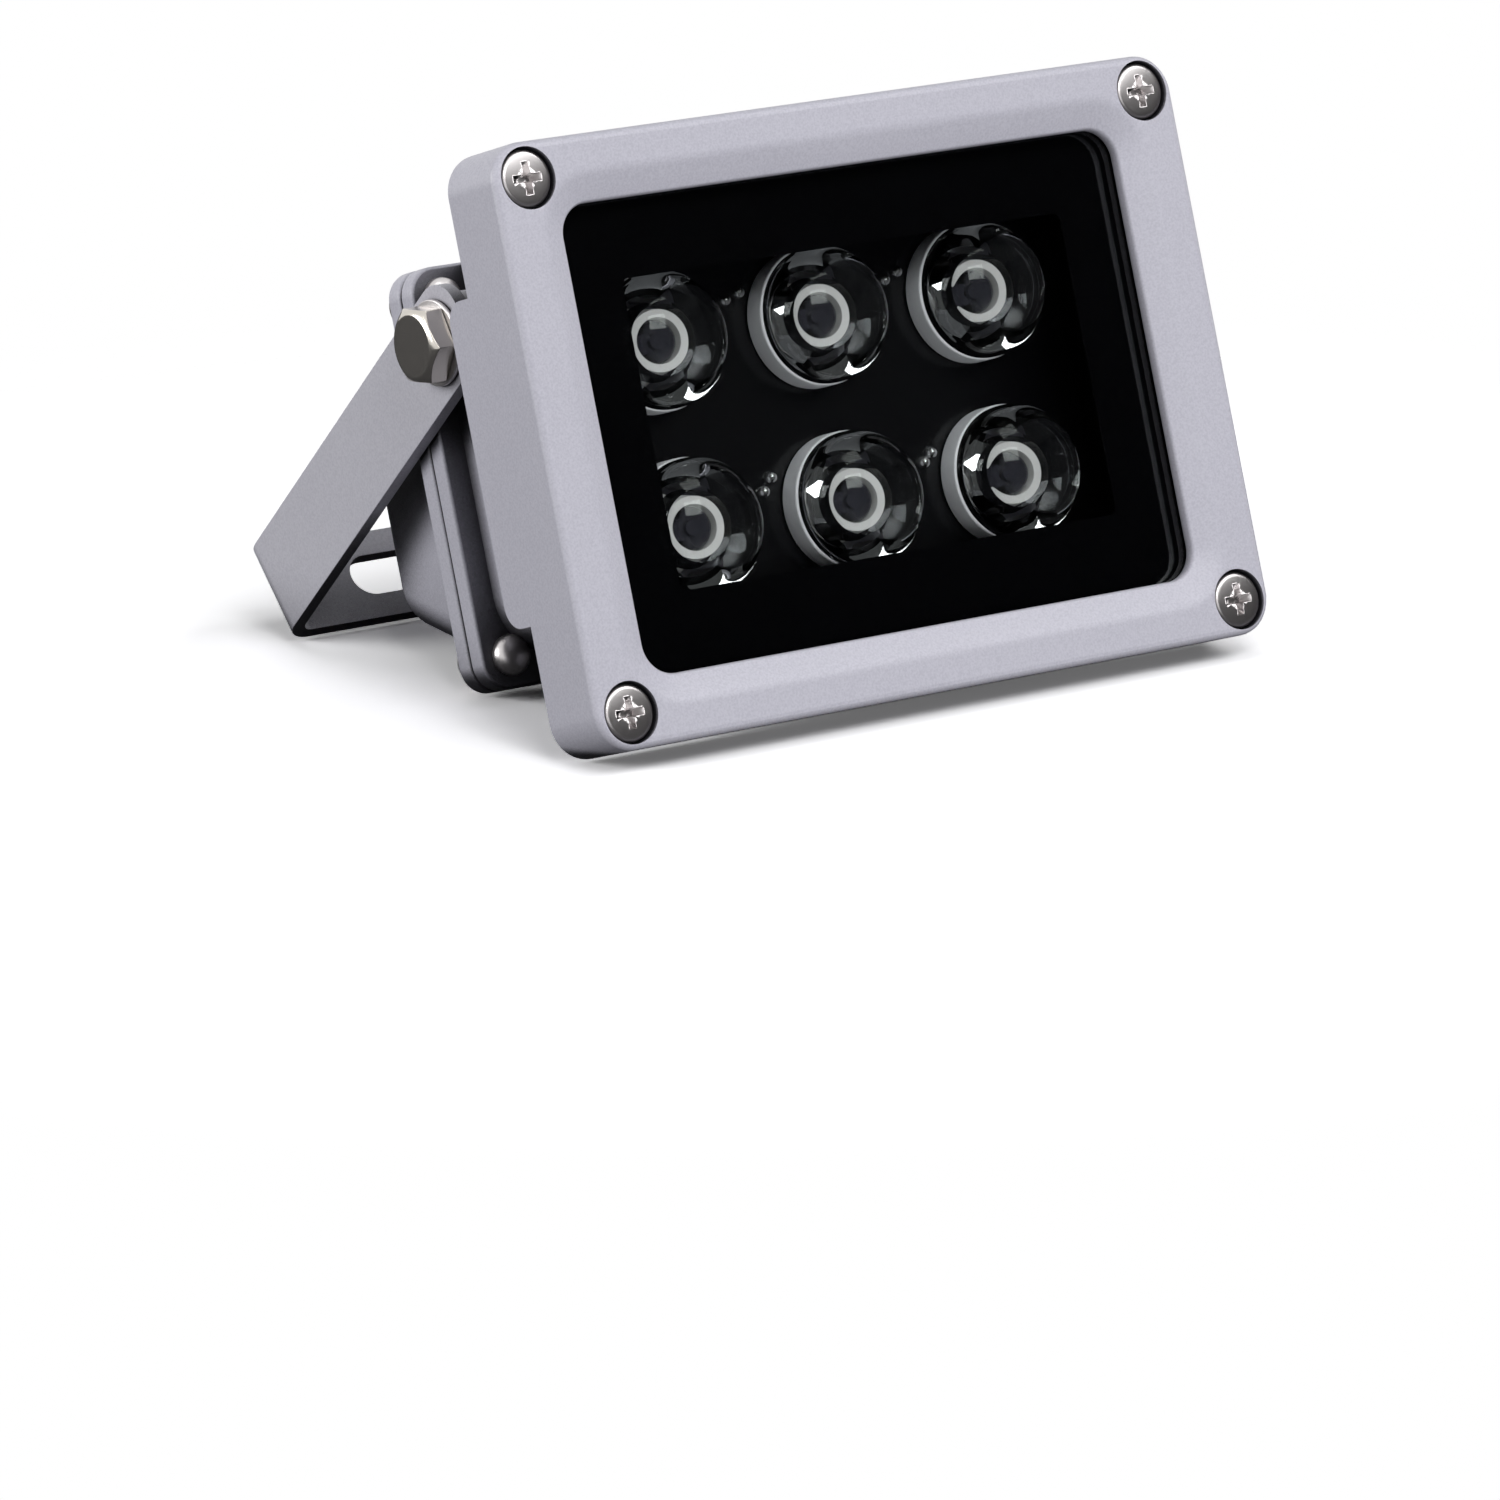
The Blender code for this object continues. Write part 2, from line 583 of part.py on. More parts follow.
def front_bezel():
    """The cast front frame: a sloped window, four screw pockets and a skirt with two long tongues."""
    outer = rounded_rectangle(BEZEL_WIDTH, BEZEL_HEIGHT, BEZEL_CORNER)
    body = slab("front_bezel", [outer], 0.0, TONGUE_DEPTH)
    round_edges(body, 0.0, BEZEL_EDGE)
    # One cutter makes the window: straight behind, and flared from the slope's foot past the crest
    window = window_outline(0.0)
    flared = window_outline(SLOPE_WIDTH * (1 + OVERRUN / SLOPE_DROP))
    opening = slab("window_cut", [window], -OVERRUN, TONGUE_DEPTH + OVERRUN)
    taper(add_loop(opening, SLOPE_DROP), window, flared, -OVERRUN)
    glass_room = slab(
        "glass_seat_cut",
        [rounded_rectangle(GLASS_WIDTH + 2 * CLEARANCE, GLASS_HEIGHT + 2 * CLEARANCE, GLASS_CORNER)],
        LIP_DEPTH,
        TONGUE_DEPTH + OVERRUN,
    )
    inside = slab(
        "skirt_cut",
        [rounded_rectangle(BEZEL_WIDTH - 2 * SKIRT_WALL, BEZEL_HEIGHT - 2 * SKIRT_WALL, COLLAR_CORNER)],
        FRAME_DEPTH,
        TONGUE_DEPTH + OVERRUN,
    )
    cut(body, opening, glass_room, inside)
    corner_y, corner_z = TONGUE_DEPTH - TONGUE_ROUND, TONGUE_LENGTH / 2 - TONGUE_ROUND
    for level in (1, -1):
        notch = [(SKIRT_DEPTH, BEZEL_HEIGHT), (SKIRT_DEPTH, TONGUE_LENGTH / 2)]
        for angle in quarter_turn():
            across, along = TONGUE_ROUND * math.cos(angle), TONGUE_ROUND * math.sin(angle)
            notch.append((corner_y + along, corner_z + across))
        notch += [(TONGUE_DEPTH + OVERRUN, corner_z), (TONGUE_DEPTH + OVERRUN, BEZEL_HEIGHT)]
        notch = [(y, level * z) for y, z in notch]
        cut(body, slab(f"tongue_cut_{level}", [notch], -BEZEL_WIDTH, BEZEL_WIDTH, FACING_X))
    for number, centre in enumerate(four_corners(BEZEL_SCREW_X, BEZEL_SCREW_Z)):
        pocket = rod(f"pocket_cut_{number}", SCREW_HEAD_RADIUS + CLEARANCE, -OVERRUN, POCKET_DEPTH, centre)
        hole = rod(
            f"bezel_hole_cut_{number}", SCREW_HOLE_RADIUS, 0.0, FRAME_DEPTH + OVERRUN, centre, SMALL_STEPS
        )
        cut(body, pocket, hole)
    return finish(body, "painted_casting")


def window_glass():
    outline = rounded_rectangle(GLASS_WIDTH, GLASS_HEIGHT, GLASS_CORNER)
    return finish(slab("window_glass", [outline], GLASS_FRONT, GLASS_BACK), "glass")


def glass_gasket():
    """The rubber frame that the housing's collar presses against the back of the glass."""
    outer = rounded_rectangle(GLASS_WIDTH, GLASS_HEIGHT, GLASS_CORNER)
    inner = rounded_rectangle(
        GLASS_WIDTH - 2 * GASKET_WIDTH, GLASS_HEIGHT - 2 * GASKET_WIDTH, GLASS_CORNER - GASKET_WIDTH
    )
    low, high = GLASS_BACK + CLEARANCE, COLLAR_FRONT - CLEARANCE
    return finish(slab("glass_gasket", [outer, inner], low, high), "rubber")


def pan_screw(name, centre, seat, length, head_radius, head_height, axis, steps=SMALL_STEPS):
    """A pan head screw with a crossed recess; its head stands in front of the seat."""
    flat, rim = head_radius - SCREW_HEAD_EDGE, head_height - SCREW_HEAD_EDGE
    profile = [(0.0, head_height)]
    for angle in quarter_turn(SCREW_EDGE_STEPS):
        profile.append((flat + SCREW_HEAD_EDGE * math.sin(angle), rim + SCREW_HEAD_EDGE * math.cos(angle)))
    profile += [
        (head_radius, 0.0),
        (SCREW_SHANK_RADIUS, 0.0),
        (SCREW_SHANK_RADIUS, SCREW_TIP - length),
        (SCREW_SHANK_RADIUS - SCREW_TIP, -length),
        (0.0, -length),
    ]
    screw = turned(name, profile, (centre[0], seat, centre[1]), axis, steps)
    solidify(screw)
    side = -1 if axis == "-Y" else 1
    low, high = sorted((seat + side * (head_height - CROSS_DEPTH), seat + side * (head_height + OVERRUN)))
    arms = []
    for number, (wide, tall) in enumerate(((CROSS_SPAN, CROSS_SLOT), (CROSS_SLOT, CROSS_SPAN))):
        arms.append(slab(f"{name}_cross_cut_{number}", [rectangle(wide, tall, centre)], low, high))
    return finish(cut(screw, *arms), "steel")


def bezel_screws():
    for number, centre in enumerate(four_corners(BEZEL_SCREW_X, BEZEL_SCREW_Z), 1):
        pan_screw(
            f"bezel_screw_{number}",
            centre,
            POCKET_DEPTH - CLEARANCE,
            BEZEL_SCREW_LENGTH,
            SCREW_HEAD_RADIUS,
            SCREW_HEAD_HEIGHT,
            "-Y",
        )


def rear_screws():
    for number, centre in enumerate(four_corners(REAR_SCREW_X, REAR_SCREW_Z), 1):
        pan_screw(
            f"rear_screw_{number}",
            centre,
            COVER_SEAT + WASHER_GAP,
            REAR_SCREW_LENGTH,
            REAR_HEAD_RADIUS,
            REAR_HEAD_HEIGHT,
            "+Y",
        )


def small_screw(name, centre, seat, length, axis):
    """A low cheese head screw for a circuit board."""
    profile = [
        (0.0, SMALL_HEAD_HEIGHT),
        (SMALL_HEAD_RADIUS, SMALL_HEAD_HEIGHT),
        (SMALL_HEAD_RADIUS, 0.0),
        (SMALL_SHANK_RADIUS, 0.0),
        (SMALL_SHANK_RADIUS, -length),
        (0.0, -length),
    ]
    return finish(turned(name, profile, (centre[0], seat, centre[1]), axis, SMALL_STEPS), "steel")


def led_board():
    outline = rounded_rectangle(BOARD_WIDTH, BOARD_HEIGHT, BOARD_CORNER)
    holes = [
        circle(SMALL_SHANK_RADIUS + CLEARANCE, centre, SMALL_STEPS)
        for centre in four_corners(BOARD_SCREW_X, BOARD_SCREW_Z)
    ]
    finish(slab("led_board", [outline] + holes, BOARD_FRONT, BOARD_BACK), "board")
    for number, centre in enumerate(four_corners(BOARD_SCREW_X, BOARD_SCREW_Z), 1):
        small_screw(
            f"board_screw_{number}", centre, BOARD_FRONT - WASHER_GAP, BOARD_THICKNESS + PLATFORM, "-Y"
        )


def emitter_centres():
    """Row by row from the top, each from left to right."""
    rows = reversed(spread(LENS_ROWS, LENS_SPAN_Z))
    return [(x, z) for z in rows for x in spread(LENS_COLUMNS, LENS_SPAN_X)]


def lens(name, centre):
    """A moulded dome with a brim, and a short tail with a recess that clears the LED."""
    profile = [(LENS_RADIUS * math.sin(a), DOME_HEIGHT * math.cos(a)) for a in quarter_turn(DOME_STEPS)]
    tail = -LENS_BRIM - LENS_TAIL_LENGTH
    profile += [
        (LENS_RADIUS, -LENS_BRIM),
        (LENS_SEAT_RADIUS, -LENS_BRIM),
        (LENS_TAIL_RADIUS, tail),
        (LENS_RECESS_RADIUS, tail),
        (LENS_RECESS_RADIUS, tail + LENS_RECESS_DEPTH),
        (0.0, tail + LENS_RECESS_DEPTH),
    ]
    base = DOME_FRONT + DOME_HEIGHT
    return finish(turned(name, profile, (centre[0], base, centre[1]), "-Y", LENS_STEPS), "clear_lens")


def lens_holder(name, centre):
    bore = LENS_SEAT_RADIUS + CLEARANCE
    profile = [(bore, HOLDER_HEIGHT), (HOLDER_RADIUS, HOLDER_HEIGHT), (HOLDER_RADIUS, 0.0), (bore, 0.0)]
    spot = (centre[0], HOLDER_BACK, centre[1])
    return finish(turned(name, profile, spot, "-Y", LENS_STEPS, True), "holder")


def led(name, centre):
    """A square emitter body with a low silicone dome."""
    back = BOARD_FRONT - WASHER_GAP
    front = back - LED_BASE
    body = slab(name, [rectangle(LED_WIDTH, LED_WIDTH, centre)], front, back)
    profile = [(LED_DOME_RADIUS * math.sin(a), LED_DOME_HEIGHT * math.cos(a)) for a in quarter_turn()]
    profile += [(LED_DOME_RADIUS, -LED_BASE / 2), (0.0, -LED_BASE / 2)]
    dome = solidify(turned(f"{name}_dome", profile, (centre[0], front, centre[1]), "-Y", SMALL_STEPS))
    return finish(join(body, dome), "emitter")


def emitters():
    for number, centre in enumerate(emitter_centres(), 1):
        lens(f"lens_{number}", centre)
        lens_holder(f"lens_holder_{number}", centre)
        led(f"led_{number}", centre)


def cooling_fins():
    """Fins over and under the waist; their tops run down from the bowl to the rear flange."""
    fins = []
    bowl = BOWL_HEIGHT / 2 + BOWL_WALL
    for number, x in enumerate(spread(FIN_COUNT, FIN_SPAN)):
        for level in (1, -1):
            outline = [
                (PLATFORM_FRONT, level * (WAIST_HEIGHT / 2 - OVERRUN)),
                (FLANGE_FRONT + OVERRUN, level * (WAIST_HEIGHT / 2 - OVERRUN)),
                (FLANGE_FRONT + OVERRUN, level * (FLANGE_HEIGHT / 2 - OVERRUN)),
                (PLATFORM_BACK, level * (bowl - OVERRUN)),
                (PLATFORM_FRONT, level * (bowl - OVERRUN)),
            ]
            side = x - FIN_THICKNESS / 2
            fins.append(slab(f"fin_{number}_{level}", [outline], side, side + FIN_THICKNESS, FACING_X))
    return fins


def housing():
    """The main casting: collar, bowl for the LED board, finned waist, rear flange and pivot bosses."""
    bowl = rounded_rectangle(BOWL_WIDTH, BOWL_HEIGHT, BOWL_CORNER)
    collar = rounded_rectangle(COLLAR_WIDTH, COLLAR_HEIGHT, COLLAR_CORNER)
    body = slab("housing", [collar], COLLAR_FRONT, COLLAR_FRONT + COLLAR_THICKNESS)
    bowl_wall = rounded_rectangle(
        BOWL_WIDTH + 2 * BOWL_WALL, BOWL_HEIGHT + 2 * BOWL_WALL, BOWL_CORNER + BOWL_WALL
    )
    waist = rounded_rectangle(WAIST_WIDTH, WAIST_HEIGHT, WAIST_CORNER)
    flange = rounded_rectangle(FLANGE_WIDTH, FLANGE_HEIGHT, FLANGE_CORNER)
    join(
        body,
        slab("bowl_lump", [bowl_wall], COLLAR_FRONT + OVERRUN, PLATFORM_BACK),
        slab("waist_lump", [waist], PLATFORM_FRONT, FLANGE_FRONT + OVERRUN),
        slab("flange_lump", [flange], FLANGE_FRONT, FLANGE_BACK),
        *cooling_fins(),
    )
    pivot = (PIVOT_DEPTH, PIVOT_RISE)
    join(body, cross_bar("boss_lump", PIVOT_BOSS_RADIUS, -BOSS_FACE, BOSS_FACE, pivot, HEAD, ROUND_STEPS))
    bay = rounded_rectangle(BAY_WIDTH, BAY_HEIGHT, BAY_CORNER)
    cut(
        body,
        slab("bowl_cut", [bowl], COLLAR_FRONT - OVERRUN, PLATFORM_FRONT),
        slab("bay_cut", [bay], PLATFORM_BACK, FLANGE_BACK + OVERRUN),
    )
    for number, centre in enumerate(driver_posts()):
        low = PLATFORM_BACK - OVERRUN
        join(body, rod(f"post_lump_{number}", POST_RADIUS, low, POST_BACK, centre, SMALL_STEPS))
    for side in (-1, 1):
        low, high = sorted((side * (BAY_WIDTH / 2 - OVERRUN), side * (BOSS_FACE + OVERRUN)))
        cut(body, cross_bar(f"pivot_cut_{side}", BOLT_RADIUS + CLEARANCE, low, high, pivot, HEAD))
    bezel_holes = four_corners(BEZEL_SCREW_X, BEZEL_SCREW_Z)
    flange_holes = four_corners(REAR_SCREW_X, REAR_SCREW_Z)
    board_holes = four_corners(BOARD_SCREW_X, BOARD_SCREW_Z)
    small_hole = SMALL_SHANK_RADIUS + CLEARANCE
    for name, radius, centres, front, back in (
        ("collar_hole", SCREW_HOLE_RADIUS, bezel_holes, COLLAR_FRONT, COLLAR_FRONT + COLLAR_THICKNESS),
        ("flange_hole", SCREW_HOLE_RADIUS, flange_holes, FLANGE_FRONT, FLANGE_BACK),
        ("board_hole", small_hole, board_holes, PLATFORM_FRONT, PLATFORM_BACK),
        ("lead_hole", LEAD_HOLE_RADIUS, [(0.0, 0.0)], PLATFORM_FRONT, PLATFORM_BACK),
    ):
        for number, centre in enumerate(centres):
            cut(body, rod(f"{name}_{number}", radius, front - OVERRUN, back + OVERRUN, centre, SMALL_STEPS))
    return finish(body, "painted_casting")


def seal_outline(width_change):
    """The loop round the bay that carries the rear gasket, grown by a width change all round."""
    grow = SEAL_MARGIN + width_change
    return rounded_rectangle(BAY_WIDTH + 2 * grow, BAY_HEIGHT + 2 * grow, BAY_CORNER + grow)


def rear_cover():
    """The tapered rear box: its own flange, a gasket groove and a channel down to each screw."""
    flange = rounded_rectangle(FLANGE_WIDTH, FLANGE_HEIGHT, FLANGE_CORNER)
    body = slab("rear_cover", [flange], COVER_FRONT, COVER_SEAT)
    base = rounded_rectangle(COVER_WIDTH, COVER_HEIGHT, COVER_CORNER)
    back = rounded_rectangle(COVER_BACK_WIDTH, COVER_BACK_HEIGHT, COVER_CORNER)
    start = COVER_FRONT + OVERRUN
    box = taper(slab("cover_box", [base], start, COVER_BACK), base, back, COVER_BACK)
    round_edges(box, COVER_BACK, COVER_EDGE)
    room = rounded_rectangle(BAY_WIDTH, BAY_HEIGHT, BAY_CORNER)
    room_back = rounded_rectangle(BAY_WIDTH, COVER_BAY_BACK_HEIGHT, BAY_CORNER)
    room_end = COVER_BACK - COVER_WALL
    room_cut = slab("cover_bay_cut", [room], COVER_FRONT - OVERRUN, room_end)
    taper(room_cut, room, room_back, room_end)
    loops = [seal_outline(SEAL_WIDTH), seal_outline(0.0)]
    groove = slab("seal_cut", loops, COVER_FRONT - OVERRUN, COVER_FRONT + SEAL_DEPTH)
    join(body, box)
    cut(body, room_cut, groove)
    channel = REAR_HEAD_RADIUS + REAR_POCKET_ROOM
    behind = COVER_BACK + OVERRUN
    low, high = COVER_FRONT - OVERRUN, COVER_SEAT + OVERRUN
    for number, centre in enumerate(four_corners(REAR_SCREW_X, REAR_SCREW_Z)):
        cut(
            body,
            rod(f"channel_cut_{number}", channel, COVER_SEAT, behind, centre, SMALL_STEPS),
            rod(f"cover_hole_{number}", SCREW_HOLE_RADIUS, low, high, centre, SMALL_STEPS),
        )
    entry = GLAND_THREAD_RADIUS + CLEARANCE
    cut(body, rod("gland_cut", entry, room_end - OVERRUN, behind, (0.0, -GLAND_DROP)))
    return finish(body, "painted_casting")


def rear_gasket():
    outer, inner = seal_outline(SEAL_WIDTH - CLEARANCE), seal_outline(CLEARANCE)
    low, high = FLANGE_BACK + CLEARANCE, COVER_FRONT + SEAL_DEPTH - CLEARANCE
    return finish(slab("rear_gasket", [outer, inner], low, high), "rubber")


def driver_posts():
    return four_corners(DRIVER_WIDTH / 2 - POST_INSET, DRIVER_HEIGHT / 2 - POST_INSET)


def driver():
    """The current driver on its posts, with its capacitor, coil, terminals and the LED leads."""
    outline = rounded_rectangle(DRIVER_WIDTH, DRIVER_HEIGHT, BOARD_CORNER)
    finish(slab("driver_board", [outline], DRIVER_FRONT, DRIVER_BACK), "board")
    seat = DRIVER_BACK + CLEARANCE
    reach = DRIVER_WIDTH / 2 - PART_INSET
    can = [(0.0, CAPACITOR_HEIGHT), (CAPACITOR_RADIUS, CAPACITOR_HEIGHT), (CAPACITOR_RADIUS, 0.0), (0.0, 0.0)]
    finish(turned("driver_capacitor", can, (-reach, seat, 0.0), "+Y", SMALL_STEPS), "component")
    ring = [(COIL_BORE, COIL_HEIGHT), (COIL_RADIUS, COIL_HEIGHT), (COIL_RADIUS, 0.0), (COIL_BORE, 0.0)]
    finish(turned("driver_coil", ring, (0.0, seat, 0.0), "+Y", SMALL_STEPS, True), "component")
    block = rounded_rectangle(TERMINAL_HEIGHT, TERMINAL_WIDTH, TERMINAL_EDGE, (reach, 0.0))
    finish(slab("terminal_block", [block], seat, seat + TERMINAL_DEPTH), "black_plastic")
    low, high = BOARD_BACK + CLEARANCE, DRIVER_FRONT - CLEARANCE
    for number, x in enumerate(spread(2, LEAD_SPACING), 1):
        finish(rod(f"led_lead_{number}", LEAD_RADIUS, low, high, (x, 0.0), SMALL_STEPS), "rubber")


def cable_gland():
    """A screwed gland with no cable in it: body, locknut inside the cover, seal and cap."""
    centre = (0.0, -GLAND_DROP)
    seat = GLAND_SEAT
    hexagon = circle(GLAND_CORNERS / 2, centre, 6)
    body = slab("gland_body", [hexagon, circle(GLAND_BORE, centre)], seat, seat + GLAND_BASE)
    for name, radius, low, high in (
        ("gland_thread", GLAND_THREAD_RADIUS, seat - GLAND_THREAD_LENGTH, seat + OVERRUN),
        ("gland_neck", GLAND_NECK_RADIUS, seat + GLAND_BASE - OVERRUN, seat + GLAND_BASE + GLAND_NECK),
    ):
        join(body, slab(name, [circle(radius, centre), circle(GLAND_BORE, centre)], low, high))
    cut(body, rod("gland_bore_cut", GLAND_BORE, seat - COVER_RISE, seat + COVER_RISE, centre))
    finish(body, "black_plastic")
    inside = COVER_BACK - COVER_WALL - CLEARANCE
    nut = [hexagon, circle(GLAND_THREAD_RADIUS + CLEARANCE, centre)]
    finish(slab("gland_locknut", nut, inside - LOCKNUT_THICKNESS, inside), "black_plastic")
    cap_low, cap_high = GLAND_CAP_FRONT, GLAND_END
    flare = GLAND_FLATS / 2
    bore = GLAND_NECK_RADIUS + CLEARANCE
    shoulder = cap_high - GLAND_CAP_WALL
    profile = [
        (GLAND_CAP_MOUTH, cap_high),
        (bore, cap_high),
        (flare, cap_low + GLAND_CAP_HEX),
        (flare, cap_low),
        (bore, cap_low),
        (bore, shoulder - GLAND_CAP_WALL),
        (GLAND_CAP_MOUTH, shoulder),
    ]
    cap = solidify(turned("gland_cap", profile, (0.0, 0.0, -GLAND_DROP), "+Y", SMALL_STEPS, True))
    grip = slab("gland_grip", [hexagon, circle(bore, centre)], cap_low, cap_low + GLAND_CAP_HEX)
    finish(join(cap, grip), "black_plastic")
    bush = [circle(GLAND_SEAL_RADIUS, centre), circle(GLAND_SEAL_BORE, centre, SMALL_STEPS)]
    finish(slab("gland_seal", bush, seat, shoulder - GLAND_CAP_WALL - CLEARANCE), "rubber")


def hex_bolt(name, side, head_in):
    """A hex bolt along X through the pivot. Its head starts at a distance out from the middle."""
    pivot = (PIVOT_DEPTH, PIVOT_RISE)
    head_out = head_in + BOLT_HEAD
    angles = [BOLT_ANGLE + math.pi / 3 * corner for corner in range(6)]
    reach = BOLT_CORNERS / 2
    hexagon = [(pivot[0] + reach * math.cos(a), pivot[1] + reach * math.sin(a)) for a in angles]
    low, high = sorted((side * head_in, side * head_out))
    bolt = slab(name, [hexagon], low, high, FACING_X)
    # A chamfer turned on the head leaves a round face, with the six corners cut back to a cone
    face = BOLT_FLATS / 2 - BOLT_FACE_INSET
    widening = (reach - face) / BOLT_CHAMFER
    cone = [
        (0.0, head_out + OVERRUN),
        (face - OVERRUN * widening, head_out + OVERRUN),
        (face + BOLT_HEAD * widening, head_in),
        (face + BOLT_HEAD * widening, head_in - OVERRUN),
        (0.0, head_in - OVERRUN),
    ]
    axis = "+X" if side > 0 else "-X"
    shape = solidify(turned(f"{name}_cone", cone, (0.0, *pivot), axis, ROUND_STEPS))
    boolean(bolt, "INTERSECT", [shape])
    low, high = sorted((side * (head_in + OVERRUN), side * (head_in - BOLT_LENGTH)))
    return finish(join(bolt, cross_bar(f"{name}_shank", BOLT_RADIUS, low, high, pivot, HEAD)), "steel")


def pivot_hardware():
    """A hex bolt and a flat washer on each side, through the arm into the housing's boss."""
    pivot = (PIVOT_DEPTH, PIVOT_RISE)
    washer_in = ARM_OUTSIDE + WASHER_GAP
    washer_out = washer_in + WASHER_THICKNESS
    for word, side in (("left", -1), ("right", 1)):
        ring = [circle(WASHER_RADIUS, pivot), circle(BOLT_RADIUS + CLEARANCE, pivot)]
        low, high = sorted((side * washer_in, side * washer_out))
        finish(slab(f"pivot_washer_{word}", ring, low, high, FACING_X), "steel")
        hex_bolt(f"pivot_bolt_{word}", side, washer_out + WASHER_GAP)


def bend(centre, radius, start):
    """A quarter turn of the strip, from one angle on, anticlockwise."""
    angles = [start + angle for angle in quarter_turn()]
    return [(centre[0] + radius * math.cos(a), centre[1] + radius * math.sin(a)) for a in angles]


def bracket():
    """The bent strip: two arms with rounded tips, and a foot with two slots and a centre hole.

    In the bracket's own frame the pivot is the origin, Y runs down the arms to the foot, and Z is
    the width of the strip.
    """
    inner = BEND_RADIUS - STRIP_THICKNESS
    x, y = ARM_OUTSIDE - BEND_RADIUS, ARM_LENGTH - BEND_RADIUS
    outside = bend((x, y), BEND_RADIUS, 0.0) + bend((-x, y), BEND_RADIUS, math.pi / 2)
    inside = bend((x, y), inner, 0.0) + bend((-x, y), inner, math.pi / 2)
    top = -TIP_REACH - OVERRUN
    path = [(ARM_OUTSIDE, top)] + outside + [(-ARM_OUTSIDE, top), (-ARM_INSIDE, top)]
    path += list(reversed(inside)) + [(ARM_INSIDE, top)]
    body = slab("bracket", [path], -STRIP_WIDTH, STRIP_WIDTH, FACING_Z, ARM)
    length = TIP_REACH + ARM_LENGTH + TIP_CORNER + OVERRUN
    middle = length / 2 - TIP_REACH
    tip = rounded_rectangle(length, STRIP_WIDTH, TIP_CORNER, (middle, 0.0))
    trim = slab("strip_trim", [tip], -BEZEL_WIDTH, BEZEL_WIDTH, FACING_X, ARM)
    boolean(body, "INTERSECT", [trim])
    cut(body, cross_bar("arm_hole_cut", BOLT_RADIUS + CLEARANCE, -BEZEL_WIDTH, BEZEL_WIDTH, (0.0, 0.0), ARM))
    low, high = ARM_LENGTH - STRIP_THICKNESS - OVERRUN, ARM_LENGTH + OVERRUN
    for side in (-1, 1):
        centre = (side * (SLOT_REACH - SLOT_LENGTH / 2), 0.0)
        slot = stadium(SLOT_LENGTH, SLOT_WIDTH, centre)
        cut(body, slab(f"slot_cut_{side}", [slot], low, high, FACING_Y, ARM))
    cut(body, rod("centre_hole_cut", CENTRE_HOLE_RADIUS, low, high, (0.0, 0.0), SMALL_STEPS, ARM))
    return finish(body, "painted_strip")


front_bezel()
window_glass()
glass_gasket()
bezel_screws()
emitters()
led_board()
housing()
driver()
rear_gasket()
rear_cover()
rear_screws()
cable_gland()
pivot_hardware()
bracket()
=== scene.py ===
# %% [markdown]
# # An infrared illuminator
#
# A wide, low lamp head looks out through a dark window with six dome lenses, and tilts between the
# arms of a bent steel strip. The measured solids are loaded first, and everything here is fitted
# round them. All lengths are in metres, so a value in millimetres is multiplied by MM. A cutter, or
# a lump that is joined on, runs past the face that it meets by OVER, and HAIR is the least gap.

# %% Load the measured solids
import json
import math

import bmesh
import bpy
from mathutils import Matrix, Vector


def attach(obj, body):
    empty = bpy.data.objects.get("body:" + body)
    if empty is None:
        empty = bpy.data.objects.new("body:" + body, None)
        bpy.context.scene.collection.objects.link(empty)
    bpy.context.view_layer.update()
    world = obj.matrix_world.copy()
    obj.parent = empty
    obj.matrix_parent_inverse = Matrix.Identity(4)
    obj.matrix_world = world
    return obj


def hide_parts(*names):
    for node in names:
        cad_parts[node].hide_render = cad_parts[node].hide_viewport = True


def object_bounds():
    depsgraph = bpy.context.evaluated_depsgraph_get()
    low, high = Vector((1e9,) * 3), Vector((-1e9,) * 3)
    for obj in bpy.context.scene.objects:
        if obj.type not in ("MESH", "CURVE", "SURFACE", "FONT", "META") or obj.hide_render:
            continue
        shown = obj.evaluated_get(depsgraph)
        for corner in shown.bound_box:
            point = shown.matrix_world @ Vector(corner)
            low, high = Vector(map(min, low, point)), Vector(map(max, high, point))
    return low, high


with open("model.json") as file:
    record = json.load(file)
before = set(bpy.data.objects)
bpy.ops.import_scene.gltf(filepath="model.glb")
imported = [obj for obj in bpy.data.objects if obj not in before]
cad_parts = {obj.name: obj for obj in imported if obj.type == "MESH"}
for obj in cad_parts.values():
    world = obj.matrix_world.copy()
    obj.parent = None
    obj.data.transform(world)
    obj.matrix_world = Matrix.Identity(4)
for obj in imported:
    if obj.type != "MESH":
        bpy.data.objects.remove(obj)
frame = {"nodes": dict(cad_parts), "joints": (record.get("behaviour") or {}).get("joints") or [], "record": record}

MM = 0.001
OVER = 1.0 * MM
HAIR = 0.02 * MM
CAD_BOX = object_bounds()
print("solids:", len(frame["nodes"]), "box", [tuple(round(v, 4) for v in corner) for corner in CAD_BOX])

# %% [markdown]
# ## The lamp's own frame
#
# The head leans back until its bezel and its rear flange both stand on the ground, so nothing on
# it is square to the world. Every piece of the head is modelled upright and square, with X across
# the face, Y from the face to the back and Z up the face, and is then turned once into its place.
# The bracket has such a frame too, with the pivot at its origin and Y down the arms.

